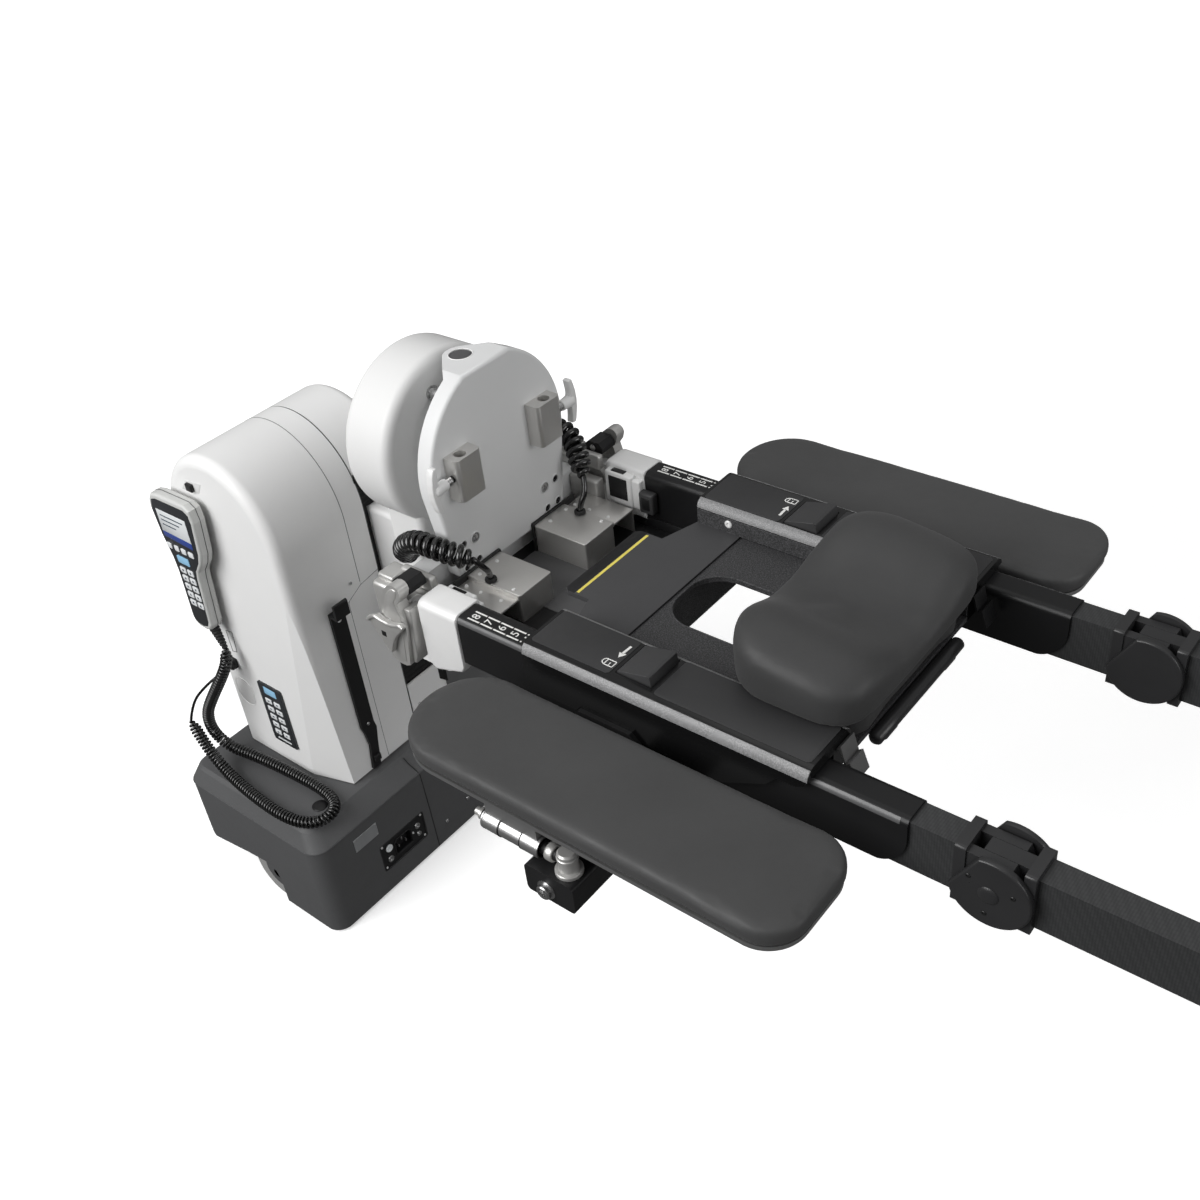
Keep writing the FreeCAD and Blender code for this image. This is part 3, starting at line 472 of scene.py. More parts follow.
# ================================================================= cords
def route(pts):
    cu = bpy.data.curves.new("route", "CURVE")
    cu.dimensions = "3D"
    sp = cu.splines.new("NURBS")
    sp.points.add(len(pts) - 1)
    for q, p in zip(sp.points, pts):
        q.co = (p[0] * MM, p[1] * MM, p[2] * MM, 1)
    sp.order_u = 3
    sp.use_endpoint_u = True
    sp.resolution_u = 16
    ob = bpy.data.objects.new("route", cu)
    me = bpy.data.meshes.new_from_object(ob)
    out = np.array([v.co[:] for v in me.vertices])
    bpy.data.meshes.remove(me)
    bpy.data.objects.remove(ob)
    bpy.data.curves.remove(cu)
    return out


def resample(P, n):
    d = np.concatenate([[0], np.cumsum(np.linalg.norm(np.diff(P, axis=0), axis=1))])
    s = np.linspace(0, d[-1], n)
    return np.stack([np.interp(s, d, P[:, k]) for k in range(3)], 1), d[-1]


def curly(pts, tail, coil_d, wire_d, pitch, per=14, ease0=0.012, ease1=0.012, wob=0.0):
    """Helix round the route's curve, running on into a straight tail."""
    base = route(pts)
    L = np.linalg.norm(np.diff(base, axis=0), axis=1).sum()
    turns = L / pitch
    n = int(turns * per) + 1
    P, L = resample(base, n)
    T = np.gradient(P, axis=0)
    T /= np.linalg.norm(T, axis=1)[:, None]
    nn = np.cross(T[0], (0.3, 0.2, 1.0))
    nn /= np.linalg.norm(nn)
    s = np.linspace(0, L, n)
    rad = (coil_d - wire_d) / 2 * np.clip(s / ease0, 0, 1) ** 0.6 * np.clip((L - s) / ease1, 0, 1) ** 0.6
    rad = rad * (1 + wob * np.sin(s * 37.0) * np.sin(s * 11.0 + 1))
    out = []
    for i in range(n):
        nn = nn - T[i] * np.dot(nn, T[i])
        nn /= np.linalg.norm(nn)
        b = np.cross(T[i], nn)
        a = 2 * math.pi * turns * i / (n - 1)
        out.append(P[i] + rad[i] * (math.cos(a) * nn + math.sin(a) * b))
    out = np.array(out)
    if tail:
        tp = route(tail)
        tp, _ = resample(tp, 40)
        out = np.vstack([out, tp[1:]])
    return out


H_COIL = [(-1416, -164, 502), (-1412, -170, 480), (-1422, -183, 450), (-1449, -197, 404), (-1484, -205, 348),
          (-1488, -204, 300), (-1467, -192, 262), (-1420, -178, 254.5), (-1361, -172, 254.5), (-1305, -168, 254.5),
          (-1245, -166, 254.5), (-1200, -173, 254.5), (-1180, -196, 254.5), (-1186, -226, 254.5),
          (-1216, -245, 254.5), (-1264, -250, 254.5), (-1318, -248, 254.5), (-1372, -243, 254.5),
          (-1424, -236, 258), (-1468, -234, 290), (-1500, -231, 340)]
H_WIRE = [(-1500, -231, 340), (-1496, -219, 377), (-1470, -195, 413), (-1444, -168, 438), (-1432, -146, 447)]
N_COIL = [(-926, -95, 846), (-925, -116, 853), (-903, -131, 884), (-862, -140, 912), (-812, -140, 912),
          (-778, -121, 899)]
N_WIRE = [(-778, -121, 899), (-769, -110, 881), (-777, -98, 864), (-780, -95, 849.6)]
F_COIL = [(-926, 98, 850), (-922, 119, 862), (-898, 138, 904), (-866, 147, 940), (-828, 145, 941),
          (-803, 131, 919), (-786, 117, 896)]
F_WIRE = [(-786, 117, 896), (-776, 108, 880), (-779, 97, 863), (-780, 95, 849.6)]

hp = curly(H_COIL, H_WIRE, 22 * MM, 5.0 * MM, 6.6 * MM, per=13, ease0=0.016, ease1=0.016)
hc = sweep("handset_curly_cord", hp, 2.5 * MM, M["rubber"], "head_base", 7)
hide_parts("handset_cord")

for tag, coil, tail, node in (("near", N_COIL, N_WIRE, "coil_cord_near"), ("far", F_COIL, F_WIRE, "coil_cord_far")):
    p = curly(coil, tail, 33 * MM, 8.6 * MM, 11.2 * MM, per=24, ease0=0.010, ease1=0.016)
    o = sweep("sensor_curly_cord_" + tag, p, 4.3 * MM, M["rubber"], None, 12)
    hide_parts(node)
    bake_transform(o)

# ================================================================= light and floor
scene.view_settings.view_transform = "Standard"
w = bpy.data.worlds.new("studio")
scene.world = w
w.use_nodes = True
wn = w.node_tree
bg = wn.nodes["Background"]
tc = wn.nodes.new("ShaderNodeTexCoord")
sp = wn.nodes.new("ShaderNodeSeparateXYZ")
mr = wn.nodes.new("ShaderNodeMapRange")
mr.inputs["From Min"].default_value = -0.1
mr.inputs["From Max"].default_value = 0.9
mr.inputs["To Min"].default_value = 0.10
mr.inputs["To Max"].default_value = 0.40
wn.links.new(tc.outputs["Generated"], sp.inputs[0])
wn.links.new(sp.outputs[2], mr.inputs["Value"])
wn.links.new(mr.outputs["Result"], bg.inputs["Strength"])
bg.inputs["Color"].default_value = (1, 1, 1, 1)


def area(name, loc, target, size, power, size_y=None):
    d = bpy.data.lights.new(name, "AREA")
    d.energy = power
    d.size = size
    if size_y:
        d.shape = "RECTANGLE"
        d.size_y = size_y
    o = link(bpy.data.objects.new(name, d))
    o.location = loc
    o.rotation_euler = (Vector(target) - Vector(loc)).to_track_quat("-Z", "Y").to_euler()
    return o


area("key", (-1.9, -3.1, 2.9), (-0.6, -0.1, 0.85), 3.0, 158)
area("top", (-0.6, 0.6, 4.2), (-0.6, 0, 0.8), 3.0, 14)
area("side", (4.2, 0.8, 1.9), (-0.9, 0, 0.7), 3.0, 84)

fm, fnt, fb = new_mat("floor_paper")
fv = coords(fnt)
fnt.links.new(mixc(fnt, ramp(fnt, noise(fnt, fv, 2.0), 0, 1), (0.86, 0.86, 0.86), (0.88, 0.88, 0.88)), fb.inputs["Base Color"])
fb.inputs["Roughness"].default_value = 0.9
fb.inputs["Specular IOR Level"].default_value = 0.1
# painted light: the floor glows, and the glow grows with distance from the origin, so the floor reads white away from
# the table while shadows near the bases still show
fb.inputs["Emission Color"].default_value = (1, 1, 1, 1)
ln = N_(fnt, "ShaderNodeVectorMath", operation="LENGTH")
fnt.links.new(fv, ln.inputs[0])
fnt.links.new(ramp(fnt, ln.outputs["Value"], 0.45, 1.1, 1.9, 3.6), fb.inputs["Emission Strength"])
bm = bmesh.new()
bmesh.ops.create_grid(bm, x_segments=2, y_segments=2, size=40.0)
fl = from_bm("floor", bm, fm, None)
fl.location = (0, 0, -0.0005)
fl.visible_diffuse = False
fl.visible_glossy = False

# ================================================================= pads
def inflate(o, voxel, press, cap, smooth=6, frames=20):
    """Remesh evenly, let the cover swell under pressure, hold each point within cap of where it began."""
    m = o.modifiers.new("remesh", "REMESH")
    m.mode = "VOXEL"
    m.voxel_size = voxel
    s = o.modifiers.new("smooth", "SMOOTH")
    s.factor = 0.5
    s.iterations = smooth
    dg = bpy.context.evaluated_depsgraph_get()
    me = bpy.data.meshes.new_from_object(o.evaluated_get(dg))
    o.modifiers.clear()
    old = o.data
    o.data = me
    bpy.data.meshes.remove(old)
    n = len(me.vertices)
    rest = np.empty(n * 3)
    me.vertices.foreach_get("co", rest)
    rest = rest.reshape(-1, 3)
    c = o.modifiers.new("cloth", "CLOTH")
    st = c.settings
    st.quality = 5
    st.mass = 0.3
    st.tension_stiffness = 14
    st.compression_stiffness = 14
    st.shear_stiffness = 6
    st.bending_stiffness = 1.2
    st.use_pressure = True
    st.uniform_pressure_force = press
    st.effector_weights.gravity = 0
    c.point_cache.frame_start = 1
    c.point_cache.frame_end = frames
    for f in range(1, frames + 1):
        scene.frame_set(f)
    dg = bpy.context.evaluated_depsgraph_get()
    tmp = o.evaluated_get(dg).to_mesh()
    co = np.empty(n * 3)
    tmp.vertices.foreach_get("co", co)
    co = co.reshape(-1, 3)
    o.evaluated_get(dg).to_mesh_clear()
    o.modifiers.clear()
    scene.frame_set(1)
    d = co - rest
    ln = np.linalg.norm(d, axis=1)[:, None]
    rest = rest + d * np.minimum(1.0, cap / np.maximum(ln, 1e-9))
    return rest


def set_pad(o, co, mat, body, node):
    o.data.vertices.foreach_set("co", np.asarray(co, float).ravel())
    o.data.update()
    finish_mesh(o, mat, None, 180)
    sub = o.modifiers.new("sub", "SUBSURF")
    sub.levels = 1
    sub.render_levels = 1
    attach(o, body)
    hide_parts(node)
    return o


def grid_closed(rings, cap0, cap1):
    """Faces for stacked closed rings with a centre point at each end."""
    nr, ns = len(rings), len(rings[0])
    verts = [p for r in rings for p in r] + [cap0, cap1]
    faces = []
    for i in range(nr - 1):
        for j in range(ns):
            k = (j + 1) % ns
            faces.append((i * ns + j, i * ns + k, (i + 1) * ns + k, (i + 1) * ns + j))
    b, t = nr * ns, nr * ns + 1
    for j in range(ns):
        k = (j + 1) % ns
        faces.append((k, j, b))
        faces.append(((nr - 1) * ns + j, (nr - 1) * ns + k, t))
    return verts, faces


def chest_top(x, y):
    b = (0.5 - 0.5 * math.cos(math.pi * min(abs(y), 120) / 120)) ** 1.2
    run = max(0.0, x + 345)
    return 942 + 48 * b - run * (0.02 + 0.13 * b) - 0.0012 * max(0, -345 - x) ** 2


def chest_shape():
    xc, hy, zm, zb = -292.0, 163.0, 928.0, 906.8
    ns, rings = 96, []
    for i in range(1, 40):
        ph = -math.pi / 2 + math.pi * i / 40
        c, s = math.cos(ph), math.sin(ph)
        m = 5.0 if s >= 0 else 9.0
        rho = abs(c) ** (2 / m)
        zz = abs(s) ** (2 / m)
        ring = []
        for j in range(ns):
            th = 2 * math.pi * j / ns
            ct, sn = math.cos(th), math.sin(th)
            n = 2.6 if ct < 0 else 5.0
            hx = 93.0 if ct < 0 else 110.0
            bx = hx * math.copysign(abs(ct) ** (2 / n), ct)
            by = hy * math.copysign(abs(sn) ** (2 / n), sn)
            x, y = xc + rho * bx, rho * by
            z = zm + zz * (chest_top(x, y) - zm) if s >= 0 else zm - zz * (zm - zb)
            ring.append((x * MM, y * MM, z * MM))
        rings.append(ring)
    v, f = grid_closed(rings, (xc * MM, 0, zb * MM), (xc * MM, 0, chest_top(xc, 0) * MM))
    k = len(v)
    ring_pts = rrect_pts(-372, -200, -128, 128, 34, 6)
    low = [[(p[0] * MM, p[1] * MM, z * MM) for p in ring_pts] for z in (869, 885, 900, 915)]
    v2, f2 = grid_closed(low, (-286 * MM, 0, 869 * MM), (-286 * MM, 0, 915 * MM))
    return v + v2, f + [tuple(i + k for i in q) for q in f2]


cv, cf = chest_shape()
chest = from_data("chest_cushion", cv, cf, None, None)
co = inflate(chest, 0.0055, 4.0, 0.004, smooth=8)
over = np.abs(co[:, 1]) > 0.1335
co[over, 2] = np.maximum(co[over, 2], 0.9066)
co[:, 2] = np.maximum(co[:, 2], 0.8685)
low = co[:, 2] < 0.9066
co[low, 1] = np.clip(co[low, 1], -0.1335, 0.1335)
set_pad(chest, co, M["vinyl_chest"], "trolley", "chest_pad")


def pad_outline(x0, x1, y0, y1, ra, rb, n):
    """Outline with a rounder head end (ra) and squarer foot end (rb)."""
    return (arc_pts(x1 - rb, y1 - rb, rb, 0, 90, n) + arc_pts(x0 + ra, y1 - ra, ra, 90, 180, n)
            + arc_pts(x0 + ra, y0 + ra, ra, 180, 270, n) + arc_pts(x1 - rb, y0 + rb, rb, 270, 360, n))


def arm_shape(sg):
    x0, x1, y0, y1 = (-671.0 if sg < 0 else -651.0), -121.0, 251.0, 404.0
    cx, cy = (x0 + x1) / 2, (y0 + y1) / 2
    rings = []
    for ins, z in ((8, 845.3), (2, 845.5), (0.4, 847.5), (0, 852), (0, 860), (0.5, 864.4), (2.0, 867.4), (4.6, 869.0), (9, 869.8),
                   (30, 870.2), (55, 870.4)):
        pts = pad_outline(x0 + ins, x1 - ins, y0 + ins, y1 - ins, max(75 - ins, 8), max(46 - ins * 0.7, 6), 14)
        rings.append([(p[0] * MM, sg * p[1] * MM, z * MM) for p in pts])
    return grid_closed(rings, (cx * MM, sg * cy * MM, 845.3 * MM), (cx * MM, sg * cy * MM, 870.4 * MM))


for tag, sg in (("near", -1), ("far", 1)):
    v, f = arm_shape(sg)
    a = from_data("armboard_cushion_" + tag, v, f, None, None)
    co = inflate(a, 0.0040, 2.0, 0.0016, smooth=2)
    co[:, 2] = np.maximum(co[:, 2], 0.8452)
    set_pad(a, co, M["vinyl"], "armboard_" + tag, "arm_pad_" + tag)


# ================================================================= trolley
def flat_text(name, body_txt, size, loc, mat, body, rot=0.0):
    cu = bpy.data.curves.new(name, "FONT")
    cu.body = body_txt
    cu.size = size * MM
    cu.extrude = 0.15 * MM
    cu.align_x = "CENTER"
    cu.align_y = "CENTER"
    cu.resolution_u = 4
    ob = bpy.data.objects.new(name, cu)
    me = bpy.data.meshes.new_from_object(ob)
    bpy.data.objects.remove(ob)
    bpy.data.curves.remove(cu)
    me.transform(Matrix.Translation(Vector(loc) * MM) @ Matrix.Rotation(math.radians(rot), 4, "Z"))
    return finish_mesh(link(bpy.data.objects.new(name, me)), mat, body, 30)


def bar2(name, a, b, w, z, mat, body, t=0.35):
    """Flat stroke of width w from a to b (mm, plan) lying at height z."""
    a, b = Vector((a[0], a[1])), Vector((b[0], b[1]))
    d = (b - a).normalized()
    n = Vector((-d.y, d.x)) * (w / 2)
    return prism(name, [tuple(a - n), tuple(b - n), tuple(b + n), tuple(a + n)], "xy", z, z + t, mat, body, 0.1, 1)


def join(name, objs):
    """One mesh from several that ride on one body."""
    body = objs[0]["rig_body"]
    mats, verts, faces, idx, off = [], [], [], [], 0
    for o in objs:
        me = o.data
        if me.materials[0] not in mats:
            mats.append(me.materials[0])
        mi = mats.index(me.materials[0])
        verts += [v.co[:] for v in me.vertices]
        for p in me.polygons:
            faces.append(tuple(i + off for i in p.vertices))
            idx.append(mi)
        off += len(me.vertices)
        bpy.data.objects.remove(o)
    me = bpy.data.meshes.new(name)
    me.from_pydata(verts, [], faces)
    for m in mats:
        me.materials.append(m)
    for p, i in zip(me.polygons, idx):
        p.material_index = i
    me.update()
    for p in me.polygons:
        p.use_smooth = True
    me.set_sharp_from_angle(angle=math.radians(35))
    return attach(link(bpy.data.objects.new(name, me)), body)


for tag, sg in (("near", -1), ("far", 1)):
    # thin cover film on each saddle's top
    def fy(a, b):
        return (a, b) if sg > 0 else (-b, -a)
    y0, y1 = fy(147, 213)
    prism("saddle_film_" + tag, rrect_pts(-597, -478, y0, y1, 5), "xy", 905.8, 906.7, M["film"], "trolley", 0.3, 2)
    prism("saddle_film_foot_" + tag, rrect_pts(-414, -209, y0, y1, 5), "xy", 905.8, 906.7, M["film"], "trolley", 0.3, 2)
    # wedge button that rises towards the foot end
    bx0, bx1 = -472.0, -421.0
    ya, yb = fy(150.5, 204.5)
    bm = bmesh.new()
    pr = [(bx0, 897.5), (bx1 - 6, 897.5), (bx1, 900), (bx1 - 3.5, 917.5), (bx1 - 7, 918.6), (bx0 + 2, 908.4), (bx0, 906.6)]
    lo_ = [bm.verts.new(Vector((p[0], ya, p[1])) * MM) for p in pr]
    hi_ = [bm.verts.new(Vector((p[0], yb, p[1])) * MM) for p in pr]
    bm.faces.new(lo_)
    bm.faces.new(hi_[::-1])
    for i in range(len(pr)):
        j = (i + 1) % len(pr)
        bm.faces.new((lo_[i], hi_[i], hi_[j], lo_[j]))
    bmesh.ops.recalc_face_normals(bm, faces=bm.faces[:])
    bmesh.ops.bevel(bm, geom=[e for e in bm.edges if e.calc_length() > 0.008], offset=1.2 * MM, segments=3, profile=0.5,
                    affect="EDGES", clamp_overlap=True)
    b = from_bm("release_wedge_" + tag, bm, M["button"], "release_" + tag, 40)
    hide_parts("release_button_" + tag)
    # padlock and arrow
    z = 906.75
    s = sg
    marks = [bar2("m", (-484.5, s * 160), (-485.3, s * 176), 3.4, z, M["white_ink"], "trolley"),
             prism("m", [(-490, s * 175.5), (-480, s * 175.0), (-485.4, s * 184)], "xy", z, z + 0.35, M["white_ink"],
                   "trolley")]
    lx, ly = -487.0, s * 197.0
    for p, q in (((lx - 6, ly - 5), (lx + 6, ly - 5)), ((lx + 6, ly - 5), (lx + 6, ly + 5)), ((lx + 6, ly + 5), (lx - 6, ly + 5)),
                 ((lx - 6, ly + 5), (lx - 6, ly - 5)), ((lx, ly - 5), (lx, ly + 1))):
        marks.append(bar2("m", p, q, 1.3, z, M["white_ink"], "trolley"))
    arc = arc_pts(lx - 6, ly - s * 0.5, 5.0, 95, 265, 8)
    for p, q in zip(arc, arc[1:]):
        marks.append(bar2("m", p, q, 1.3, z, M["white_ink"], "trolley"))
    join("lock_mark_" + tag, marks)
    # powder-coated lining of the saddle's inner wall
    a_, b_ = fy(136.2, 137.4)
    rbox("saddle_lining_" + tag, (-601.5, a_, 869), (-204.5, b_, 892.5), 0.4, M["pan"], "trolley", 1)
    # screws in the inner wall
    for i, x in enumerate((-550.0, -300.0)):
        screw("saddle_screw_%s_%d" % (tag, i), (x, sg * 136.2, 884), (0, -sg, 0), 5.8, M["silver"], "trolley", 2.0)
    # painted highlight: lighter strips over the rounded top edges of the saddle and of the sleeve below it, standing in
    # for the key light's reflection there
    def edge(name, cy, cz, r, t, a0, a1, x0, x1, mat, body):
        pts = arc_pts(cy, cz, r + t, a0, a1, 12) + arc_pts(cy, cz, r + 0.02, a1, a0, 12)
        prism(name, [(sg * p[0], p[1]) for p in pts], "yz", x0, x1, mat, body, 0.0)
    edge("saddle_edge_out_" + tag, 212, 892, 14, 0.4, -4, 56, -601.4, -204.6, M["painted_highlight_band"], "trolley")
    edge("saddle_edge_in_" + tag, 151, 892, 14, 0.4, 108, 172, -601.4, -204.6, M["painted_highlight_band"], "trolley")
    edge("sleeve_edge_" + tag, 207.5, 881, 9, 0.25, 4, 52, -720.4, -103.0, M["sleeve_painted_highlight"], "head_rails")
    # folded end plate below each saddle's foot end; the far copy takes the black finish instead of the grey, painted
    # shade on that side
    prof = [(-204.5, 894), (-199, 899), (-192.5, 877), (-187.5, 881), (-179, 858), (-181.5, 857), (-188.5, 876), (-193.5, 871.5),
            (-200, 893.5), (-203.5, 890.5)]
    pl = [(p[0], p[1]) for p in prof]
    yy0, yy1 = fy(140, 168)
    prism("saddle_end_fold_" + tag, pl, "xz", yy0, yy1, M["fold"] if sg < 0 else M["black"], "trolley", 0.4, 2)

# yellow line and edge of the front plate's tongue
bar2("front_line", (-641.5, -75), (-641.5, 75), 4.2, 870.0, M["yellow"], "trolley", 0.3)
prism("front_margin", [(-661.6, -73.6), (-654.8, -78.6), (-644.6, -78.6), (-644.6, 78.6), (-654.8, 78.6), (-661.6, 73.6)], "xy", 869.3, 870.15, M["black"],
      "trolley", 0.3, 2)
# raised seam between the front plate and the powder-coated pan
bar2("pan_seam", (-531.6, -136), (-531.6, 136), 1.2, 869.4, M["black"], "trolley", 0.8)
# rim round the face opening
rim = [(p[0] * MM, p[1] * MM, 0.868) for p in rrect_pts(-526, -369, -57, 57, 45, 14)]
rim.append(rim[0])
sweep("face_opening_rim", rim, 1.3 * MM, M["pan"], "trolley", 8)
# crossbar with rounded ends
cb = [(-0.196, y * MM, 0.8578) for y in (-102, -101, -98, -60, 0, 60, 98, 101, 102)]
rad = np.array([2.5, 6.0, 8.6, 9.2, 9.2, 9.2, 8.6, 6.0, 2.5]) * MM
c = sweep("crossbar_round", cb, rad, M["hinge"], "trolley", 24)
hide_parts("crossbar")
for i, y in enumerate((-70, 70)):
    rbox("crossbar_strap_%d" % i, (-207, y - 14, 846), (-190, y + 14, 862), 2.0, M["hinge"], "trolley")

# ================================================================= rails
for tag, sg in (("near", -1), ("far", 1)):
    bits = []
    rows, ymid, size = ((193.4, 208.6), 201.0, 17.0) if sg < 0 else ((190.2, 204.0), 197.0, 15.0)
    for i in range(4):
        xs = -708 + 21.8 * i
        for yr in rows:
            bits.append(bar2("m", (xs, sg * yr), (xs + 19.6, sg * yr), 2.3, 890.05, M["white_ink"], "head_rails", 0.3))
        d = flat_text("m", "8765"[i], size, (xs + 8.2, sg * ymid, 890.2), M["white_ink"], "head_rails", 90)
        bits.append(d)
    for yr in (rows[0], ymid - 1.4, rows[1]):
        bits.append(lathe("m", [(0, 0.3), (1.3, 0.3), (1.3, 0), (0, 0)], (-619, sg * yr, 890.05), (0, 0, 1), M["white_ink"],
                          "head_rails", 12))
    join("rail_scale_" + tag, bits)

# ================================================================= head yoke
def skin(node, w=0.00005, bev=None, seg=2, ang=40.0):
    """Weld the CAD mesh's loose corners and round its edges; the mesh itself stays."""
    o = NODE[node]
    m = o.modifiers.new("weld", "WELD")
    m.merge_threshold = w
    if bev:
        b = o.modifiers.new("bevel", "BEVEL")
        b.width = bev * MM
        b.segments = seg
        b.limit_method = "ANGLE"
        b.angle_limit = math.radians(ang)
        b.use_clamp_overlap = True
        b.harden_normals = False
    return o


def mirror_y(pts):
    return [(x, -y) for x, y in pts]


def both_sides(fn):
    for tag, sg in (("near", -1), ("far", 1)):
        fn(tag, sg)


def ylim(sg, a, b):
    return (a, b) if sg > 0 else (-b, -a)


skin("pin_posts", bev=2.2, seg=3)
skin("cross_beam", bev=3.0, seg=3)

# plug in the boss on the plate's top edge
lathe("boss_plug", [(0, 3.1), (8, 3.1), (14.0, 2.9), (15.2, 2.2), (15.6, 0.4), (0, 0.4)], (-868, 0, 1118.5), (0, 0, 1), M["plug"],
      "head_yoke", 56)
# painted highlight: a thin ring in the shell's white round the plug stands for the light caught on the rim of its
# recess
ring = [((-868 + 16.2 * math.cos(t)) * MM, 16.2 * math.sin(t) * MM, 1.1219) for t in np.linspace(0, 2 * math.pi, 65)]
sweep("boss_highlight_ring", ring, 0.7 * MM, M["shell"], "head_yoke", 8)
skin("face_plate", bev=2.6, seg=3, ang=50.0)
# stop bolt that stands in the gap between the drum and the plate
lathe("stop_bolt", [(0, 24), (5.0, 24), (7.2, 22.8), (8.0, 20.5), (8.0, 3), (10.5, 2.4), (10.5, 0), (0, 0)], (-910.5, -24, 1066),
      (1, 0, 0), M["ground"], "head_carriage", 36)
# bright rims and dark sockets for the plate's bolts
for tag, sg in (("near", -1), ("far", 1)):
    for k, (y, z, r, mat) in enumerate(((72.5, 891, 8.0, "ground"), (96, 893, 6.0, "dark_metal"), (96, 856, 6.0, "dark_metal"),
                                        (73, 856, 6.0, "dark_metal"))):
        lathe("plate_bolt_rim_%s_%d" % (tag, k), [(r + 1.5, -0.2), (r + 1.5, 0.7), (r + 0.8, 1.2), (r - 0.2, 1.2), (r - 0.5, 0.4),
                                                 (r - 0.5, -0.4)],
              (-821.5, sg * y, z), (1, 0, 0), M["plate"], "head_yoke", 32)
        lathe("plate_bolt_head_%s_%d" % (tag, k), [(0, -3.2), (r * 0.42, -3.2, 6), (r * 0.46, -0.9, 6), (r * 0.55, -0.5), (r * 0.8, -0.5),
                                                  (r * 0.92, -1.2), (r * 0.92, -4)],
              (-821.5, sg * y, z), (1, 0, 0), M[mat], "head_yoke", 36)


# ----- clamp handles
def wing(tag, sg):
    px, pz = -810.0, 1004.0

    def yy(a):
        return sg * a
    bits = []
    # threaded screw, shoulder and hub
    prof = [(0, 0), (4.6, 0.4)]
    h = 1.0
    while h < 13.0:
        prof += [(4.95, h), (4.95, h + 0.6), (4.35, h + 0.9), (4.35, h + 1.3)]
        h += 1.7
    prof += [(0, h)]
    bits.append(lathe("m", prof, (px, yy(93), pz), (0, sg, 0), M["dark_metal"], "t_handle_" + tag, 32))
    # bright collar and the painted hub
    bits.append(lathe("m", [(0, 0), (5.6, 0.2), (6.3, 0.9), (6.3, 8.4), (5.6, 9.0), (0, 9.0)], (px, yy(106.2), pz), (0, sg, 0), M["ground"],
                      "t_handle_" + tag, 32))
    bits.append(lathe("m", [(0, 0), (6.9, 0.3), (7.6, 1.2), (7.9, 8), (8.4, 13), (9.0, 18), (8.6, 22), (6, 25), (0, 26)], (px, yy(114.8), pz),
                      (0, sg, 0), M["silver"], "t_handle_" + tag, 32))
    # crescent blade: bowed outwards, square-cut ends
    prof = [(129.6, 32.6), (137.0, 33.4), (140.4, 24), (143.0, 12), (144.0, 0), (143.0, -12), (140.4, -24), (137.0, -33.4), (129.6, -32.6),
            (131.6, -22), (132.4, -12), (131.0, -7), (131.0, 7), (132.4, 12), (131.6, 22)]
    bm = bmesh.new()
    lo_ = [bm.verts.new(Vector((px - 5.6, yy(a), pz + b)) * MM) for a, b in prof]
    hi_ = [bm.verts.new(Vector((px + 5.6, yy(a), pz + b)) * MM) for a, b in prof]
    bm.faces.new(lo_)
    bm.faces.new(hi_[::-1])
    for k in range(len(prof)):
        q = (k + 1) % len(prof)
        bm.faces.new((lo_[k], hi_[k], hi_[q], lo_[q]))
    bmesh.ops.recalc_face_normals(bm, faces=bm.faces[:])
    bmesh.ops.bevel(bm, geom=bm.edges[:], offset=1.5 * MM, segments=3, profile=0.5, affect="EDGES", clamp_overlap=True)
    bits.append(from_bm("m", bm, M["silver"], "t_handle_" + tag, 40))
    o = join("clamp_handle_" + tag, bits)
    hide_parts("t_handle_" + tag)


both_sides(wing)

# ----- folded sheet-metal boxes beside the plate
boxes = []


def sheet_box(tag, sg):
    y0, y1 = ylim(sg, 36.6, 100.4)
    out = []
    # body with rounded folds and the lid's lip
    bx = rrect_pts(-818, -723.6, y0, y1, 2.6, 4)
    out.append(prism("m", bx, "xy", 803.2, 846.6, M["box_steel"], "head_yoke", 0.0))
    lid = rrect_pts(-818, -723.0, y0 - 0.5, y1 + 0.5, 3.0, 4)
    out.append(prism("m", lid, "xy", 845.2, 848.0, M["box_steel"], "head_yoke", 1.1, 3))
    # wing of the lid towards the rail
    w0, w1 = ylim(sg, 100.0, 150.0)
    fl = [(-818, w0), (-727, w0), (-727, w1), (-818, w1)] if sg > 0 else [(-818, w0), (-727, w0), (-727, w1), (-818, w1)]
    out.append(prism("m", fl, "xy", 838.6, 841.2, M["box_steel"], "head_yoke", 0.7, 2))
    sx0, sx1 = ylim(sg, 99.6, 102.6)
    out.append(prism("m", [(sx0, 839.5), (sx1, 839.5), (sx1, 847.4), (sx0, 847.4)], "yz", -818, -724.5, M["box_steel"],
                     "head_yoke", 0.4, 2))
    w0, w1 = ylim(sg, 147.5, 150.0)
    out.append(prism("m", [(w0, 803.4), (w1, 803.4), (w1, 839.4), (w0, 839.4)], "yz", -818, -727, M["box_steel"], "head_yoke", 0.4, 2))
    return out


both_sides(lambda tag, sg: boxes.extend(sheet_box(tag, sg)))
o = join("sheet_boxes", boxes)
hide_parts("sensor_boxes")


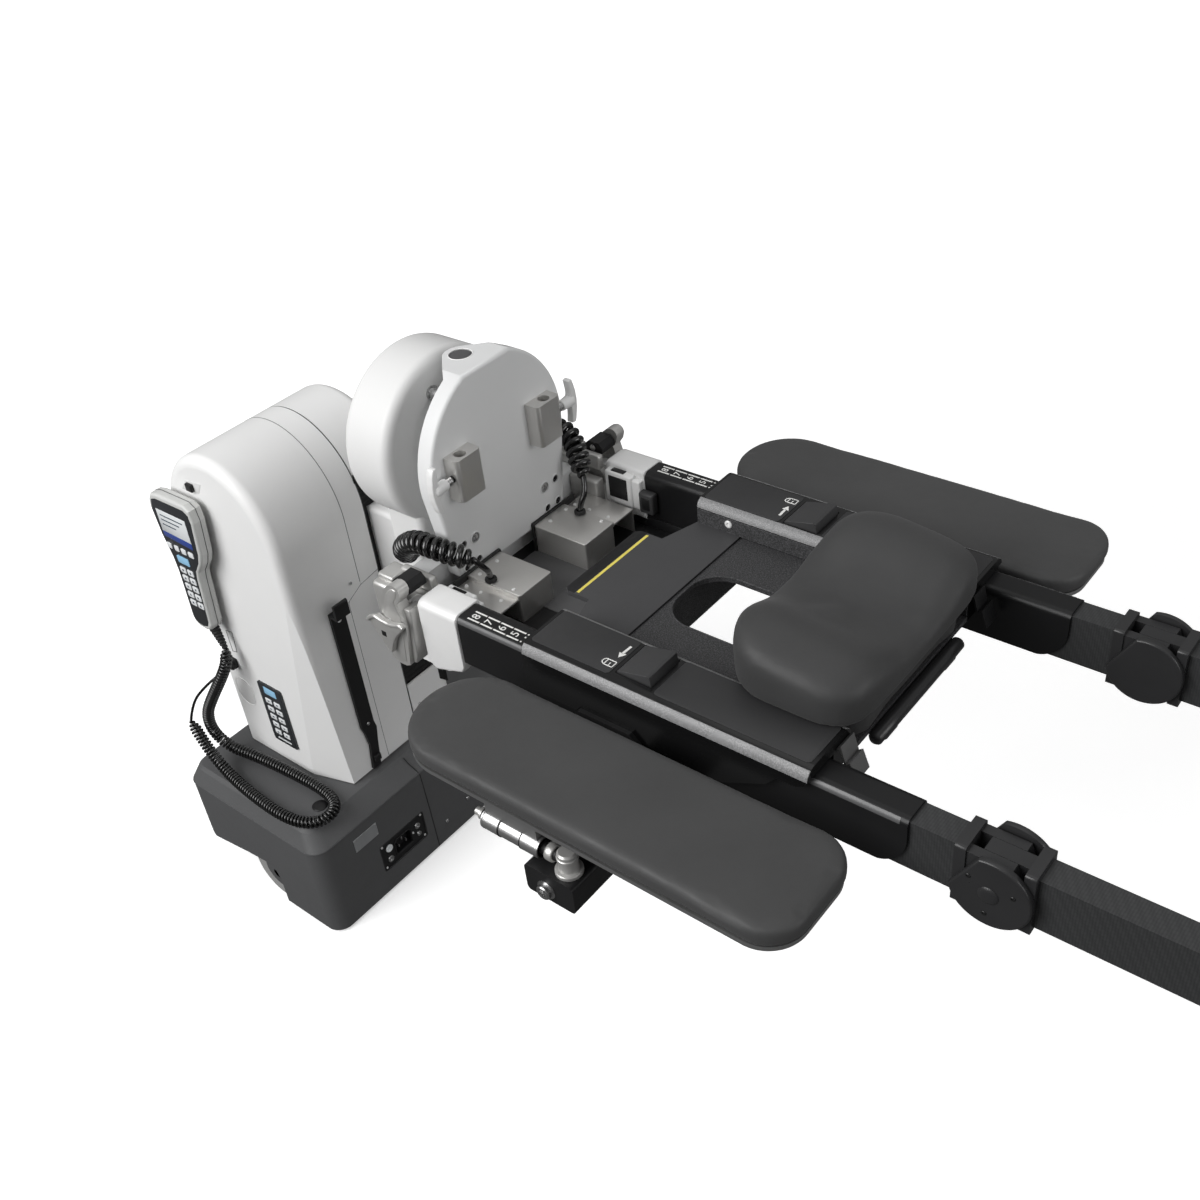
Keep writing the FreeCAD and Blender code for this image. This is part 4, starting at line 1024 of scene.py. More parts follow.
def box_trim(tag, sg):
    for k, (x, y, z) in enumerate(((-804, 57, 848), (-804, 92, 848), (-740, 94, 848), (-808, 116, 841.2), (-781, 116, 841.2),
                                   (-745, 115, 841.2))):
        screw("box_screw_%s_%d" % (tag, k), (x, sg * y, z), (0, 0, 1), 2.9, M["silver"], "head_yoke", 1.7)
    # grommet where the coiled cord goes into the lid
    lathe("box_grommet_" + tag, [(4.4, -1), (4.5, 5.4), (5.6, 6.2), (8.0, 5.0), (8.6, 3.0), (8.4, 1.2), (7.0, 0.4), (7.0, -1)],
          (-780, sg * 95, 848), (0, 0, 1), M["seal"], "head_yoke", 32)
    # black strip between the plate and the lid
    a, b = ylim(sg, 34.5, 128.0)
    rbox("box_gasket_" + tag, (-821.4, a, 838.5), (-816.6, b, 851.2), 1.2, M["seal"], "head_yoke")
    a, b = ylim(sg, 34.0, 36.6)
    rbox("box_gasket_side_" + tag, (-821.4, a, 804), (-816.4, b, 849), 0.9, M["seal"], "head_yoke")


both_sides(box_trim)
# sheet that covers the middle of the tray
sheet = [(-821, -60), (-700, -60), (-690, -56), (-648, -56), (-648, 56), (-690, 56), (-700, 60), (-821, 60)]
prism("tray_sheet", sheet, "xy", 802.9, 804.6, M["tray"], "head_yoke", 0.6, 2)


# ----- rail-end latches
def latch(tag, sg):
    def y2(a, b):
        return ylim(sg, a, b)
    out = []
    # side housing: a finger that leans over the pull block, running down past the lever
    hump = [(-852, 842), (-847, 860), (-840, 884), (-833, 900), (-828, 907), (-821, 912.5), (-813, 915.5), (-807, 914.5), (-803, 911), (-801.5, 905),
            (-804.5, 895), (-811, 886), (-808, 876), (-804, 866), (-803.5, 850), (-807, 820), (-812, 784), (-820, 780), (-832, 779.5), (-846, 787),
            (-840, 808)]
    a, b = y2(216.5, 234)
    out.append(prism("m", hump, "xz", b if sg < 0 else a, a if sg < 0 else b, M["cast"], "head_yoke", 0.0))
    a, b = y2(232.5, 235.0)
    out.append(prism("m", [(-846, 846), (-841.5, 862), (-835, 883), (-829, 897), (-819, 908), (-812.5, 910.5), (-808, 909), (-807, 904.5), (-810, 896),
                           (-816.5, 887), (-813, 875), (-809.5, 866), (-809.5, 850), (-813, 822), (-817, 788), (-831, 785), (-839, 790), (-834.5, 808)],
                     "xz", a if sg > 0 else b, b if sg > 0 else a, M["cast"], "head_yoke", 1.8, 3))
    # step towards the rail's cap
    led = [(-812, 845), (-812, 872), (-806, 877), (-797.5, 877), (-795.5, 872), (-801.5, 800), (-806, 786), (-812, 784)]
    a, b = y2(207, 228)
    out.append(prism("m", led, "xz", b if sg < 0 else a, a if sg < 0 else b, M["cast"], "head_yoke", 2.0, 3))
    # block that carries the lugs
    a, b = y2(169, 213)
    out.append(rbox("m", (-883.5, a, 813), (-852, b, 884), 6.0, M["cast"], "head_yoke", 4))
    a, b = y2(170, 203)
    out.append(rbox("m", (-880, a, 878), (-850, b, 892.5), 4.0, M["cast"], "head_yoke", 4))
    a, b = y2(168.5, 180.5)
    out.append(rbox("m", (-858, a, 872), (-800, b, 896), 3.5, M["cast"], "head_yoke", 4))
    for p, q in ((176, 187.4), (206.6, 218)):
        a, b = y2(p, q)
        lug = [(-856, 838.5)] + [(-815, 838.3)] + arc_pts(-815, 855, 16.6, -90, 90, 10) + [(-856, 871.5)]
        out.append(prism("m", lug, "xz", b if sg < 0 else a, a if sg < 0 else b, M["cast"], "head_yoke", 1.2, 2))
    return out


lat = []
both_sides(lambda tag, sg: lat.extend(latch(tag, sg)))
o = join("rail_latches", lat)
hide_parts("latch_clevises")


def latch_moving(tag, sg):
    def pr(name, pts, a, b, mat, body, bev, seg=3):
        lo, hi = ylim(sg, a, b)
        return prism(name, pts, "xz", hi if sg < 0 else lo, lo if sg < 0 else hi, mat, body, bev, seg)
    # black pull block with chamfered long edges, on its side arms
    grip = [(-836, 892), (-832, 888.3), (-810, 888.3), (-804.5, 892.5), (-804.5, 900.5), (-811, 907.6), (-830, 907.6), (-836, 902)]
    bits = [pr("m", grip, 184.0, 214.5, M["black"], "latch_grip_" + tag, 1.0)]
    bits.append(lathe("m", [(0, 0), (4.2, 0), (4.9, 0.8), (4.9, 40.2), (4.2, 41), (0, 41)], (-822, sg * 182.5, 898), (0, sg, 0), M["ground"],
                      "latch_grip_" + tag, 24))
    o = join("latch_pull_" + tag, bits)
    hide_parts("latch_grip_" + tag)
    # swept lever; a thin dark square on its face stands in for a square hole, painted shade in place of the opening
    lev = [(-864, 848), (-850, 859), (-839, 855), (-824, 854), (-804, 860), (-799, 856), (-812, 841), (-818, 834), (-823, 826), (-828, 815),
           (-832, 803.5), (-837, 804), (-841, 809), (-847, 820), (-855, 831)]
    bits = [pr("m", lev, 235.6, 243.6, M["cast"], "latch_lever_" + tag, 1.6, 3)]
    rim = np.array([(x * MM, sg * 0.2435, z * MM) for x, z in ((-865, 848.5), (-857, 855), (-850, 858.5), (-839, 855.8), (-824, 855), (-811, 858.5),
                                                               (-802, 861.5), (-797.5, 858.5))])
    bits.append(sweep("m", resample(rim, 40)[0], 3.4 * MM, M["cast"], "latch_lever_" + tag, 12))
    # painted shade: dark square patch in place of the lever's square hole
    a, b = ylim(sg, 243.2, 244.0)
    bits.append(rbox("m", (-843.5, a, 829), (-835, b, 837.5), 0.3, M["dark_metal"], "latch_lever_" + tag, 1))
    bits.append(lathe("m", [(0, 0), (5.6, 0), (5.6, 12.4), (0, 12.4)], (-832, sg * 224, 850), (0, sg, 0), M["ground"], "latch_lever_" + tag, 24))
    o = join("latch_handle_" + tag, bits)
    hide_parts("latch_lever_" + tag)


both_sides(latch_moving)


# ----- caps on the rails' head ends
def rail_cap(tag, sg):
    out = []

    def pr(pts, a, b, mat, bev, seg=3):
        lo, hi = ylim(sg, a, b)
        return prism("m", pts, "xz", hi if sg < 0 else lo, lo if sg < 0 else hi, mat, "head_rails", bev, seg)
    # body as stacked rounded sections so that both long top edges are generous
    sec = []
    n = 8
    for x, grow, zlo in ((-790.6, -3.5, 803), (-789.6, -1.2, 800), (-786.5, 0, 790), (-780, 0, 783), (-774, 0, 782.5), (-750, 0, 790),
                         (-728, 0, 797.5), (-724, 0, 803), (-722.2, 0, 806.5), (-721.4, -1.0, 808)):
        y0, y1, z0, z1 = 173 - grow * 0.6, 220 + grow, zlo, 892 + grow
        ro, ri, rb = 11.0, 5.0, 5.0
        pts = ([(y1 - ro + ro * math.cos(t), z1 - ro + ro * math.sin(t)) for t in np.linspace(0, math.pi / 2, n)]
               + [(y0 + ri - ri * math.sin(t), z1 - ri + ri * math.cos(t)) for t in np.linspace(0, math.pi / 2, n)]
               + [(y0 + rb - rb * math.cos(t), z0 + rb - rb * math.sin(t)) for t in np.linspace(0, math.pi / 2, n)]
               + [(y1 - rb + rb * math.sin(t), z0 + rb - rb * math.cos(t)) for t in np.linspace(0, math.pi / 2, n)])
        sec.append([(x * MM, sg * y * MM, z * MM) for y, z in pts])
    v, f = grid_closed(sec, (-0.7906, sg * 0.196, 0.85), (-0.7214, sg * 0.196, 0.85))
    out.append(from_data("m", v, f, M["silver"], "head_rails", 40))
    # tongue on the pitch pin
    tg = [(-789, 839)] + [(-815, 838.8)] + arc_pts(-815, 855, 16.2, 270, 90, 12) + [(-789, 871)]
    out.append(pr(tg, 188.3, 205.7, M["silver"], 1.0, 2))
    # stepped block on the inner face with its dark inset
    def inner(lo, hi, x0, x1, z0, z1, r, mat):
        a, b = ylim(sg, lo, hi)
        return rbox("m", (x0, a, z0), (x1, b, z1), r, mat, "head_rails", 3)
    out.append(inner(160.6, 176, -785, -736, 832, 884, 3.0, M["silver"]))
    out.append(inner(163.4, 176, -739, -723, 831, 879, 2.4, M["silver"]))
    out.append(inner(159.4, 162, -777, -744, 843, 878, 1.0, M["black"]))
    a, b = ylim(sg, 164, 173)
    out.append(rbox("m", (-775, a, 883), (-752, b, 885.2), 0.8, M["black"], "head_rails", 2))
    # release block beside the sleeve
    out.append(inner(160.4, 174.2, -724.5, -699, 831, 865, 3.2, M["button"]))
    out.append(inner(159.6, 161.4, -719, -705, 838, 858, 0.8, M["black"]))
    return out


caps = []
both_sides(lambda tag, sg: caps.extend(rail_cap(tag, sg)))
o = join("rail_end_caps", caps)
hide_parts("rail_caps")
# dark joint between each cap and its sleeve
for tag, sg in (("near", -1), ("far", 1)):
    ring = rrect_pts(176.5, 215.0, 817, 888.6, 8, 6)
    p = [(-0.7212, sg * y * MM, z * MM) for y, z in ring]
    p.append(p[0])
    sweep("cap_joint_" + tag, p, 1.2 * MM, M["seal"], "head_rails", 6)


# lip under each sleeve's inner edge, flange of the tray, and the web between the lids and the latches. The black lips
# and flange also close the gaps below the rails: painted shade for the shadowed space there, where pale floor would
# otherwise show
def inner_lips(tag, sg):
    a, b = ylim(sg, 171.6, 174.8)
    rbox("sleeve_lip_shade_" + tag, (-720.6, a, 800), (-642, b, 818), 0.8, M["black"], "head_rails", 2)
    a, b = ylim(sg, 171.3, 172.7)
    rbox("cap_lip_shade_" + tag, (-750, a, 788), (-720.2, b, 814), 0.5, M["black"], "head_rails", 2)
    a, b = ylim(sg, 157, 170.8)
    rbox("tray_flange_shade_" + tag, (-760, a, 794), (-718.5, b, 802), 1.0, M["black"], "head_yoke", 2)
    a, b = ylim(sg, 150.6, 168.6)
    rbox("latch_web_" + tag, (-845.6, a, 801), (-793, b, 864), 3.0, M["cast"], "head_yoke")


both_sides(inner_lips)

# ================================================================= columns
TX0, TX1, TH = -1483.0, -1213.0, 142.5


def arch_line(y, off=0.0, z0=244.0, x_lo=True, n=60):
    """Points (mm) over the column's outer profile at one y."""
    hw, rise = 135.0 + off, 150.0 + off
    pts = [(-1348 + hw, y, z) for z in np.linspace(z0, 740, 40)]
    pts += [(-1348 + hw * math.cos(t), y, 740 + rise * math.sin(t)) for t in np.linspace(0, math.pi, n)[1:-1]]
    if x_lo:
        pts += [(-1348 - hw, y, z) for z in np.linspace(740, z0, 40)]
    return pts


def line_tube(name, pts, r, mat, body, sides=6):
    return sweep(name, np.array(pts) * MM, r * MM, mat, body, sides)


# joint lines of the shells
line_tube("tower_seam_mid", arch_line(0.6, -0.5, 619), 0.85, M["joint"], "head_base")
line_tube("tower_seam_side", arch_line(43.3, -1.0, 244), 1.0, M["joint"], "head_base")
edge = [(y, z) for y, z in ((42.9, 244), (42.9, 619.4), (0, 612.6), (-30.2, 596.6), (-31.8, 594), (-31.8, 244))]
P, _ = resample(np.array([(-1213.6, y, z) for y, z in edge]) * MM, 160)
sweep("front_panel_joint", P, 0.8 * MM, M["joint"], "head_base", 6)
for s, body, nm in ((-1, "foot_base", "foot"),):
    for y, z0 in ((0.6, 244), (43.3, 244)):
        pts = [(-x, yy, z) for x, yy, z in arch_line(y, 0.15, z0)]
        line_tube("%s_tower_seam_%d" % (nm, y), pts, 0.8, M["joint"], body)
# foot of each shell where it meets the base
for tag, sx, body in (("head", 1, "head_base"), ("foot", -1, "foot_base")):
    ring = rrect_pts(-1483.4, -1212.6, -142.9, 142.9, 18.5, 6)
    if tag == "head":
        ring = [(-1212.6, 124), (-1212.6, -119), (-1300, -142.9), (-1465, -142.9), (-1478, -138), (-1483.4, -124), (-1483.4, 124),
                (-1478, 138), (-1465, 142.9), (-1231, 142.9), (-1218, 138), (-1212.6, 124)]
    else:
        ring.append(ring[0])
    line_tube(tag + "_tower_foot_joint", [(sx * x, y, 242.9) for x, y in ring], 1.0, M["joint"], body)


# pleated covers in the lift slots
def slot_cover(tag, sx, car):
    xf = -1219.2

    def pleats(name, z0, z1, n):
        v, f = [], []
        rows = n * 2 + 1
        for i in range(rows):
            z = z0 + (z1 - z0) * i / (rows - 1)
            x = xf - (1.6 if i % 2 else 0.0)
            v += [(sx * x * MM, 0.0412, z * MM), (sx * x * MM, 0.1202, z * MM), (sx * (x - 0.9) * MM, 0.0412, z * MM),
                  (sx * (x - 0.9) * MM, 0.1202, z * MM)]
        for i in range(rows - 1):
            a, b = 4 * i, 4 * i + 4
            f += [(a, a + 1, b + 1, b), (a + 3, a + 2, b + 2, b + 3), (a + 2, a, b, b + 2), (a + 1, a + 3, b + 3, b + 1)]
        f += [(0, 2, 3, 1), (4 * rows - 4, 4 * rows - 3, 4 * rows - 1, 4 * rows - 2)]
        o = from_data(name, v, f, M["bellows"], None, 20)
        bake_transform(o)
        return o
    pleats("slot_pleats_low_" + tag, 356.5, 558.5, 17)
    pleats("slot_pleats_high_" + tag, 798.5, 736.5, 6)
    for k, (a, b) in enumerate(((44.8, 54.6), (113.4, 117.4))):
        xa, xb = sorted((sx * (xf - 2.4), sx * xf))
        rbox("slot_side_%s_%d" % (tag, k), (xa, a, 558.8), (xb, b, 736.2), 0.4, M["bellows"], car, 1)


# dark strip between the slot and the column's far corner: painted shade for the shadowed far edge of the slot
prism("slot_shade_strip", [(120.4, 318), (138, 300), (138, 790), (120.4, 799)], "yz", -1213.2, -1212.2, M["bellows"], "head_base", 0.3, 2)
slot_cover("head", 1, "head_carriage")
slot_cover("foot", -1, "foot_carriage")

# small screws in the column, the drum's box and the base
for i, (y, z) in enumerate(((-19, 628), (-61, 348), (-54, 262), (62, 300), (95, 820))):
    screw("tower_screw_%d" % i, (-1213 if i != 1 else -1207, y, z), (1, 0, 0), 3.4, M["ground"], "head_base", 1.9)
screw("hook_screw", (-1207, -63, 582), (1, 0, 0), 4.2, M["silver"], "head_base", 2.2)
for i, (y, z) in enumerate(((26, 49), (86, 59), (150, 62), (215, 68))):
    screw("base_screw_%d" % i, (-1165, y, z), (1, 0, 0), 4.2, M["ground"], "head_base", 2.0)
for i, (y, z) in enumerate(((-66, 842), (-70, 700), (72, 842))):
    screw("drum_screw_%d" % i, (-912, y, z), (1, 0, 0), 3.6, M["ground"], "head_carriage", 2.0)

# hook bar: rounded edges and a rolled top lip
skin("cord_hook_bar", bev=1.6, seg=3)
lathe("hook_lip", [(0, 0), (2.4, 0.3), (3.0, 1.2), (3.0, 28.8), (2.4, 29.7), (0, 30)], (-1193.5, -78, 621.5), (0, 1, 0), M["black"],
      "head_base", 20)
rbox("hook_clip", (-1207.5, -69, 262), (-1201, -55, 276), 1.5, M["black"], "head_base")


# ================================================================= keypad on the column
KY = -145.7


def face_rect(name, x0, x1, z0, z1, r, y, h, mat, body, bev=0.4, seg=2):
    """Rounded tile on a face that looks towards -Y, standing h proud of y."""
    return prism(name, rrect_pts(x0, x1, z0, z1, r, 4), "xz", y + 0.2, y - h, mat, body, bev, seg)


skin("column_keypad", bev=0.8, seg=2)
face_rect("keypad_bezel", -1379, -1321, 295, 427, 4, KY, 0.5, M["fascia"], "head_base", 0.2)
face_rect("keypad_display", -1366, -1334, 408, 424, 1.5, KY - 0.5, 0.4, M["key_blue"], "head_base", 0.2)
keys = []
for i in range(5):
    z = 397 - 18.5 * i
    for x0, x1 in ((-1370, -1353), (-1347, -1330)):
        keys.append(face_rect("m", x0, x1, z - 11, z, 2.0, KY - 0.5, 0.9, M["key"], "head_base", 0.35))
        keys.append(face_rect("m", x0 + 6, x1 - 6, z - 7, z - 4, 0.6, KY - 1.3, 0.25, M["screen_ink"], "head_base", 0.0))
keys.append(face_rect("m", -1368, -1332, 299.5, 303, 1.0, KY - 0.5, 0.4, M["key"], "head_base", 0.2))
join("keypad_keys", keys)
# paler oval dish and the raised outline beside the handset's lead
face_rect("column_dish", -1459, -1414, 348, 406, 20, -142.5, 0.35, M["dish"], "head_base", 0.2)
ring = [(x * MM, -0.1427, z * MM) for x, z in rrect_pts(-1460, -1413, 347, 407, 21, 8)]
ring.append(ring[0])
sweep("column_dish_ring", ring, 0.7 * MM, M["shell"], "head_base", 6)
ol = [(x * MM, -0.1427, z * MM) for x, z in ((-1434, 519), (-1416, 522), (-1421, 475), (-1434, 472), (-1434, 519))]
P, _ = resample(np.array(ol), 60)
sweep("column_outline", P, 0.6 * MM, M["joint"], "head_base", 6)
# clip that holds the lead's end, and the pocket above the handset
rbox("lead_clip", (-1458, -152.0, 436), (-1430, -142.3, 456), 2.4, M["black"], "head_base")
lathe("lead_clip_collar", [(0, 0), (4.6, 0), (5.2, 1), (5.2, 7), (4.2, 8.5), (3.2, 9), (0, 9)], (-1434, -149.5, 444.5), (0.3, -1.0, -0.35),
      M["black"], "head_base", 24)
prism("handset_pocket", [(-1420, 816), (-1373, 821), (-1361, 842), (-1404, 837)], "xz", -142.3, -142.9, M["dish"], "head_base", 0.2)
rbox("handset_hook", (-1399, -149, 822), (-1383, -142.2, 836), 2.0, M["black"], "head_base")

# ================================================================= handset
HY = -177.0
fas = [(-1469, 790), (-1464, 802), (-1452, 806), (-1378, 807), (-1368, 800), (-1367, 784), (-1377, 721), (-1385, 701), (-1401, 680),
       (-1406, 662), (-1418, 566), (-1424, 555), (-1436, 551), (-1450, 552), (-1458, 558), (-1460, 568), (-1455, 660), (-1457, 690),
       (-1467, 732), (-1471, 780)]
prism("handset_fascia", fas, "xz", HY + 0.6, HY - 0.7, M["fascia"], "head_base", 0.35, 2)
fy_ = HY - 0.7
prism("handset_screen", [(-1459, 786), (-1382, 786), (-1384, 741), (-1460, 743)], "xz", fy_ + 0.2, fy_ - 0.5, M["screen"], "head_base", 0.2)
prism("handset_screen_bar", [(-1460, 743), (-1384, 741), (-1385, 728), (-1461, 732)], "xz", fy_ + 0.2, fy_ - 0.5, M["screen_bar"],
      "head_base", 0.2)
hk = []
for x0, x1 in ((-1461, -1448), (-1441, -1429), (-1423, -1410), (-1404, -1390)):
    hk.append(face_rect("m", x0, x1, 709, 720, 2.4, fy_, 1.2, M["key"], "head_base", 0.4))
hk.append(face_rect("m", -1443, -1411, 685, 700, 3.0, fy_, 1.3, M["key_blue"], "head_base", 0.4))
for i in range(5):
    z = 676 - 17.4 * i
    d = -0.9 * i
    for x0, x1 in ((-1446, -1430), (-1426, -1410)):
        hk.append(face_rect("m", x0 + d, x1 + d, z - 12, z, 2.6, fy_, 1.2, M["key"], "head_base", 0.4))
        hk.append(face_rect("m", x0 + d + 6, x1 + d - 6, z - 8, z - 4, 0.8, fy_ - 1.1, 0.25, M["screen_ink"], "head_base", 0.0))
join("handset_keys", hk)
ink = []
for i in range(3):
    ink.append(face_rect("m", -1452, -1392 - 12 * i, 775 - 9 * i, 777.5 - 9 * i, 0.5, fy_ - 0.5, 0.15, M["screen_ink"], "head_base", 0.0))
join("handset_screen_lines", ink)
# line where the handset's two halves meet
hs_out = [(-1474.5, 799), (-1466.5, 811.4), (-1450, 815.5), (-1376, 816.4), (-1363.6, 808), (-1360.6, 786), (-1370.6, 718), (-1379.6, 698),
          (-1396.6, 676), (-1400.6, 660), (-1413.6, 558), (-1421, 546.6), (-1432, 542.6), (-1450, 543.6), (-1461.4, 549.6), (-1465.4, 562),
          (-1460.4, 660), (-1462.4, 690), (-1472.4, 730), (-1477.4, 784), (-1474.5, 799)]
P, _ = resample(np.array([(x, -162.5, z) for x, z in hs_out]) * MM, 220)
sweep("handset_seam", P, 0.55 * MM, M["joint"], "head_base", 6)
# ribs on the cord's strain relief
ax = Vector((0.33, 0, -0.944)).normalized()
prof = [(0, 0)]
for i in range(7):
    h = 2 + i * 6.2
    r = 9.2 - 0.088 * h
    prof += [(r, h), (r + 0.5, h + 0.8), (r + 0.5, h + 3.4), (r - 0.2, h + 4.2), (r - 1.4, h + 4.6), (r - 1.4, h + 5.8)]
prof += [(5.2, 47), (5.0, 49.5), (0, 49.5)]
o = lathe("handset_strain_relief", prof, (-1432.5, -164, 549.2), ax, M["seal"], "head_base", 32)
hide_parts("handset_relief")

# ================================================================= bases
# cap on the base's top, bare plate, joint lines
lathe("base_top_cap", [(0, 2.6), (9, 2.6), (12.5, 2.0), (14, 0.8), (14, -0.6), (0, -0.6)], (-1226, -190, 242), (0, 0, 1), M["black"], "head_base", 40)
rbox("base_bare_plate", (-1165.2, -184, 152), (-1164.0, -129, 182), 0.4, M["grey_plate"], "head_base", 1)
for k, (y, z) in enumerate(((-181, 155), (-132, 155), (-181, 179), (-132, 179))):
    screw("plate_rivet_%d" % k, (-1164.2, y, z), (1, 0, 0), 1.5, M["ground"], "head_base", 0.9)
line_tube("base_joint", [(-1188, -20, 240.6), (-1180, -18, 229), (-1166, -12, 209), (-1164.9, -10, 200), (-1164.9, -7, 110), (-1164.9, -5, 8)], 0.9,
          M["seal"], "head_base")
for tag, sx, body in (("head", 1, "head_base"), ("foot", -1, "foot_base")):
    ring = rrect_pts(-1530.3, -1164.7, -264.3, 264.3, 30.3, 8)
    ring.append(ring[0])
    line_tube(tag + "_base_crease", [(sx * x, y, 206.5) for x, y in ring], 0.7, M["base"], body)

# socket panel: pins, round connectors, switch and screws
pf = -1166.5
for k, (y, z) in enumerate(((-81, 94), (-90, 82), (-72, 82))):
    rbox("inlet_pin_%d" % k, (-1179, y - 1.2, z - 3.2), (-1169.5, y + 1.2, z + 3.2), 0.5, M["ground"], "head_base", 1)
fr = [(pf + 0.6) * MM, 0, 0]
loop = [((pf + 0.4) * MM, y * MM, z * MM) for y, z in ((-102, 70), (-60, 70), (-60, 100), (-66, 106), (-96, 106), (-102, 100), (-102, 70))]
P, _ = resample(np.array(loop), 80)
sweep("inlet_rim", P, 1.5 * MM, M["black"], "head_base", 8)
for k, (y, z, r, mat) in enumerate(((-43, 96, 6.5, "ground"), (-43, 76, 5.2, "ground"), (-115, 100, 8.0, "screen"), (-117, 74, 7.0, "ground"))):
    lathe("inlet_round_%d" % k, [(0, 0.8), (r * 0.55, 0.8), (r * 0.6, 2.2), (r * 0.9, 2.4), (r, 1.4), (r, -0.4), (0, -0.4)], (pf, y, z), (1, 0, 0), M[mat],
          "head_base", 28)
for k, (y, z) in enumerate(((-130, 61), (-31, 61), (-130, 114), (-31, 114), (-56, 88))):
    screw("inlet_screw_%d" % k, (pf, y, z), (1, 0, 0), 2.4, M["silver"], "head_base", 1.4)
loop = [(-1164.9 * MM, y * MM, z * MM) for y, z in rrect_pts(-135.5, -25.5, 55.5, 119.5, 5, 5)]
loop.append(loop[0])
sweep("inlet_frame", loop, 0.8 * MM, M["seal"], "head_base", 6)


# hub caps on the wheels
for nm, sx in (("head", -1), ("foot", 1)):
    for tag, sg in (("near", -1), ("far", 1)):
        lathe("%s_hub_%s" % (nm, tag), [(0, 3.0), (9, 3.0), (14, 2.4), (20, 1.0), (30, 0.8), (34, 0.2), (34, -0.6), (0, -0.6)],
              (sx * 1330, sg * 254, 62), (0, sg, 0), M["base"], "%s_wheel_%s" % (nm, tag), 40)

# ================================================================= bed hinge
for node in ("hinge_forks", "foot_hinge_knuckles"):
    skin(node, bev=0.9, seg=2)
for tag, sg in (("near", -1), ("far", 1)):
    lathe("hinge_cap_" + tag, [(0, 2.4), (6, 2.4), (9.5, 1.8), (11.0, 0.5), (11.0, -0.5), (0, -0.5)], (0, sg * 228, 852.5), (0, sg, 0), M["hinge"],
          "head_rails", 36)
    for k, a in enumerate((145, 25, 265)):
        x, z = 27 * math.cos(math.radians(a)), 852.5 + 27 * math.sin(math.radians(a))
        screw("hinge_screw_%s_%d" % (tag, k), (x, sg * 228, z), (0, sg, 0), 2.8, M["dark_metal"], "head_rails", 1.2)
    # dark slip ring between the fork's fingers and the knuckle
    for k, y in enumerate((186.25, 205.75)):
        ring = [(26 * math.cos(t) * MM, sg * y * MM, (852.5 + 26 * math.sin(t)) * MM) for t in np.linspace(0, 2 * math.pi, 49)]
        sweep("hinge_ring_%s_%d" % (tag, k), ring, 0.22 * MM, M["seal"], "head_rails", 6)

# ================================================================= arm boards and their brackets
skin("arm_brackets", bev=2.0, seg=3)


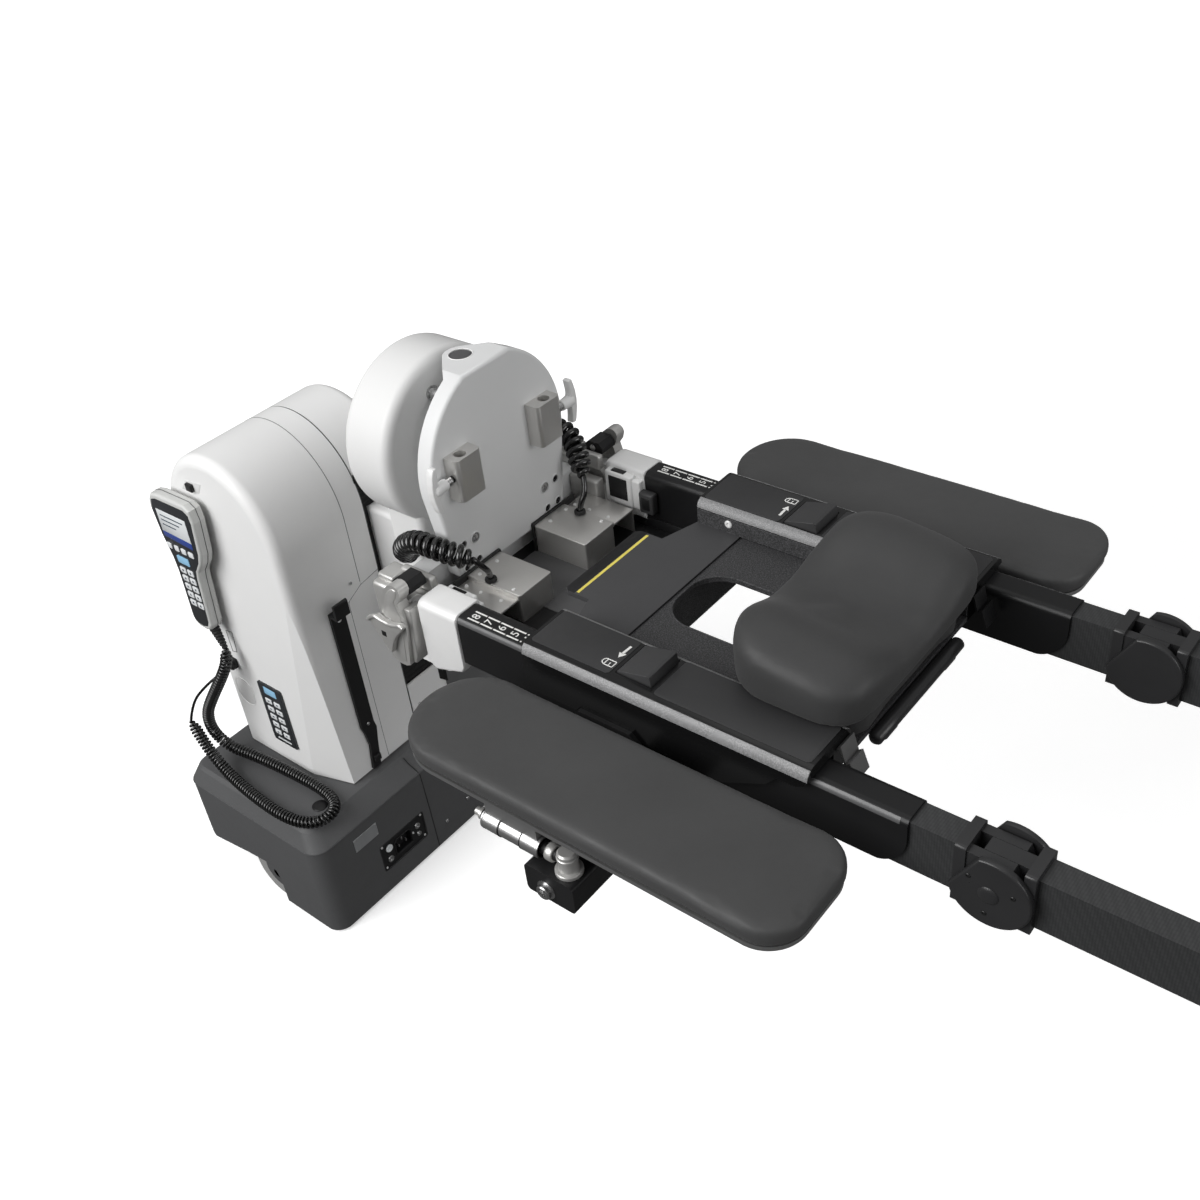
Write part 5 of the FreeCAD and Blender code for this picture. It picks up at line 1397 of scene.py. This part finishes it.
def arm_hw(tag, sg):
    body, tr = "armboard_" + tag, "trolley"
    x0 = -672.0 if sg < 0 else -652.0
    # dark tray under the board
    out = pad_outline(x0 + 12, -132, 262, 393, 64, 36, 14)
    prism("board_tray_" + tag, [(x, sg * y) for x, y in out], "xy", 839.2, 834.5, M["arm"], body, 1.4, 2)
    # barrel: grooves, end rings and the axle's end
    for k, x in enumerate((-504, -471)):
        lathe("barrel_groove_%s_%d" % (tag, k), [(13.0, -0.7), (14.25, -0.7), (14.25, 0.7), (13.0, 0.7)], (x, sg * 385, 793), (1, 0, 0), M["seal"], body, 40)
    for k, x in enumerate((-529.2, -445.8)):
        d = -1 if k == 0 else 1
        lathe("barrel_end_%s_%d" % (tag, k), [(8.4, 0.8), (12.0, 0.8), (13.6, 0.2), (14.2, -1.0), (14.2, -2.6), (13.4, -3.0)], (x, sg * 385, 793), (d, 0, 0),
              M["board"], body, 40)
    lathe("axle_end_" + tag, [(0, 12), (4.2, 12), (5.4, 11), (5.4, 4.5), (7.6, 3.8), (7.6, -1), (0, -1)], (-536, sg * 385, 793), (-1, 0, 0), M["cast"], tr, 28)
    # post with collars and the knuckle that holds the axle
    lathe("arm_post_" + tag, [(0, 0), (15.5, 0), (16.4, 1), (16.4, 5), (15.4, 6.4), (12.2, 7.2), (11.6, 9), (11.6, 20), (12.6, 21), (12.6, 25),
                              (11.6, 26), (11.4, 30), (9.5, 32.4), (0, 32.8)], (-411, sg * 385, 775.6), (0, 0, 1), M["cast"], tr, 40)
    lathe("arm_axle_collar_" + tag, [(8.3, 0), (10.4, 0.4), (11, 1.5), (11, 9), (10.2, 10.2), (8.3, 10.6)], (-438, sg * 385, 793), (1, 0, 0), M["cast"], tr, 32)
    # clamp bolt at the bracket's end
    lathe("bracket_bolt_" + tag, [(0, 2.5), (4.6, 2.5, 6), (5.0, 6.6, 6), (5.8, 7.2), (8.4, 7.2), (9.6, 6.0), (9.6, 0.6), (12.8, 0.4), (12.8, -0.6), (0, -0.6)],
          (-432, sg * 405, 750), (0, sg, 0), M["ground"], tr, 40)
    # two screws through the bracket's plate
    for k, x in enumerate((-512, -446)):
        screw("bracket_screw_%s_%d" % (tag, k), (x, sg * 232, 826), (0, sg, 0), 4.6, M["dark_metal"], tr, 2.2)


both_sides(arm_hw)


# ================================================================= foot end
skin("foot_yoke", bev=2.2, seg=3)
skin("foot_rail_caps", bev=3.0, seg=3)
lathe("foot_spindle_cover", [(0, 2.4), (40, 2.4), (56, 1.8), (60, 0.4), (60, -0.4), (0, -0.4)], (821.5, 0, 988), (-1, 0, 0), M["plate"], "foot_yoke", 56)
for k, a in enumerate(range(30, 390, 60)):
    y, z = 48 * math.cos(math.radians(a)), 988 + 48 * math.sin(math.radians(a))
    screw("foot_plate_bolt_%d" % k, (819.2, y, z), (-1, 0, 0), 5.0, M["ground"], "foot_yoke", 2.4)
for tag, sg in (("near", -1), ("far", 1)):
    for k, (y, z) in enumerate(((72.5, 891), (96, 893), (96, 862), (73, 862))):
        screw("foot_low_bolt_%s_%d" % (tag, k), (821.5, sg * y, z), (-1, 0, 0), 5.6, M["ground"], "foot_yoke", 2.6)
    lathe("foot_pitch_cap_" + tag, [(0, 1.8), (8, 1.8), (10.5, 1.0), (11, 0), (11, -0.6), (0, -0.6)], (815, sg * 218, 855), (0, sg, 0), M["ground"],
          "foot_yoke", 32)
    ring = rrect_pts(176.5, 215.0, 817, 888.6, 5, 5)
    p = [(0.7212, sg * y * MM, z * MM) for y, z in ring]
    p.append(p[0])
    sweep("foot_cap_joint_" + tag, p, 1.0 * MM, M["seal"], "foot_rails", 6)
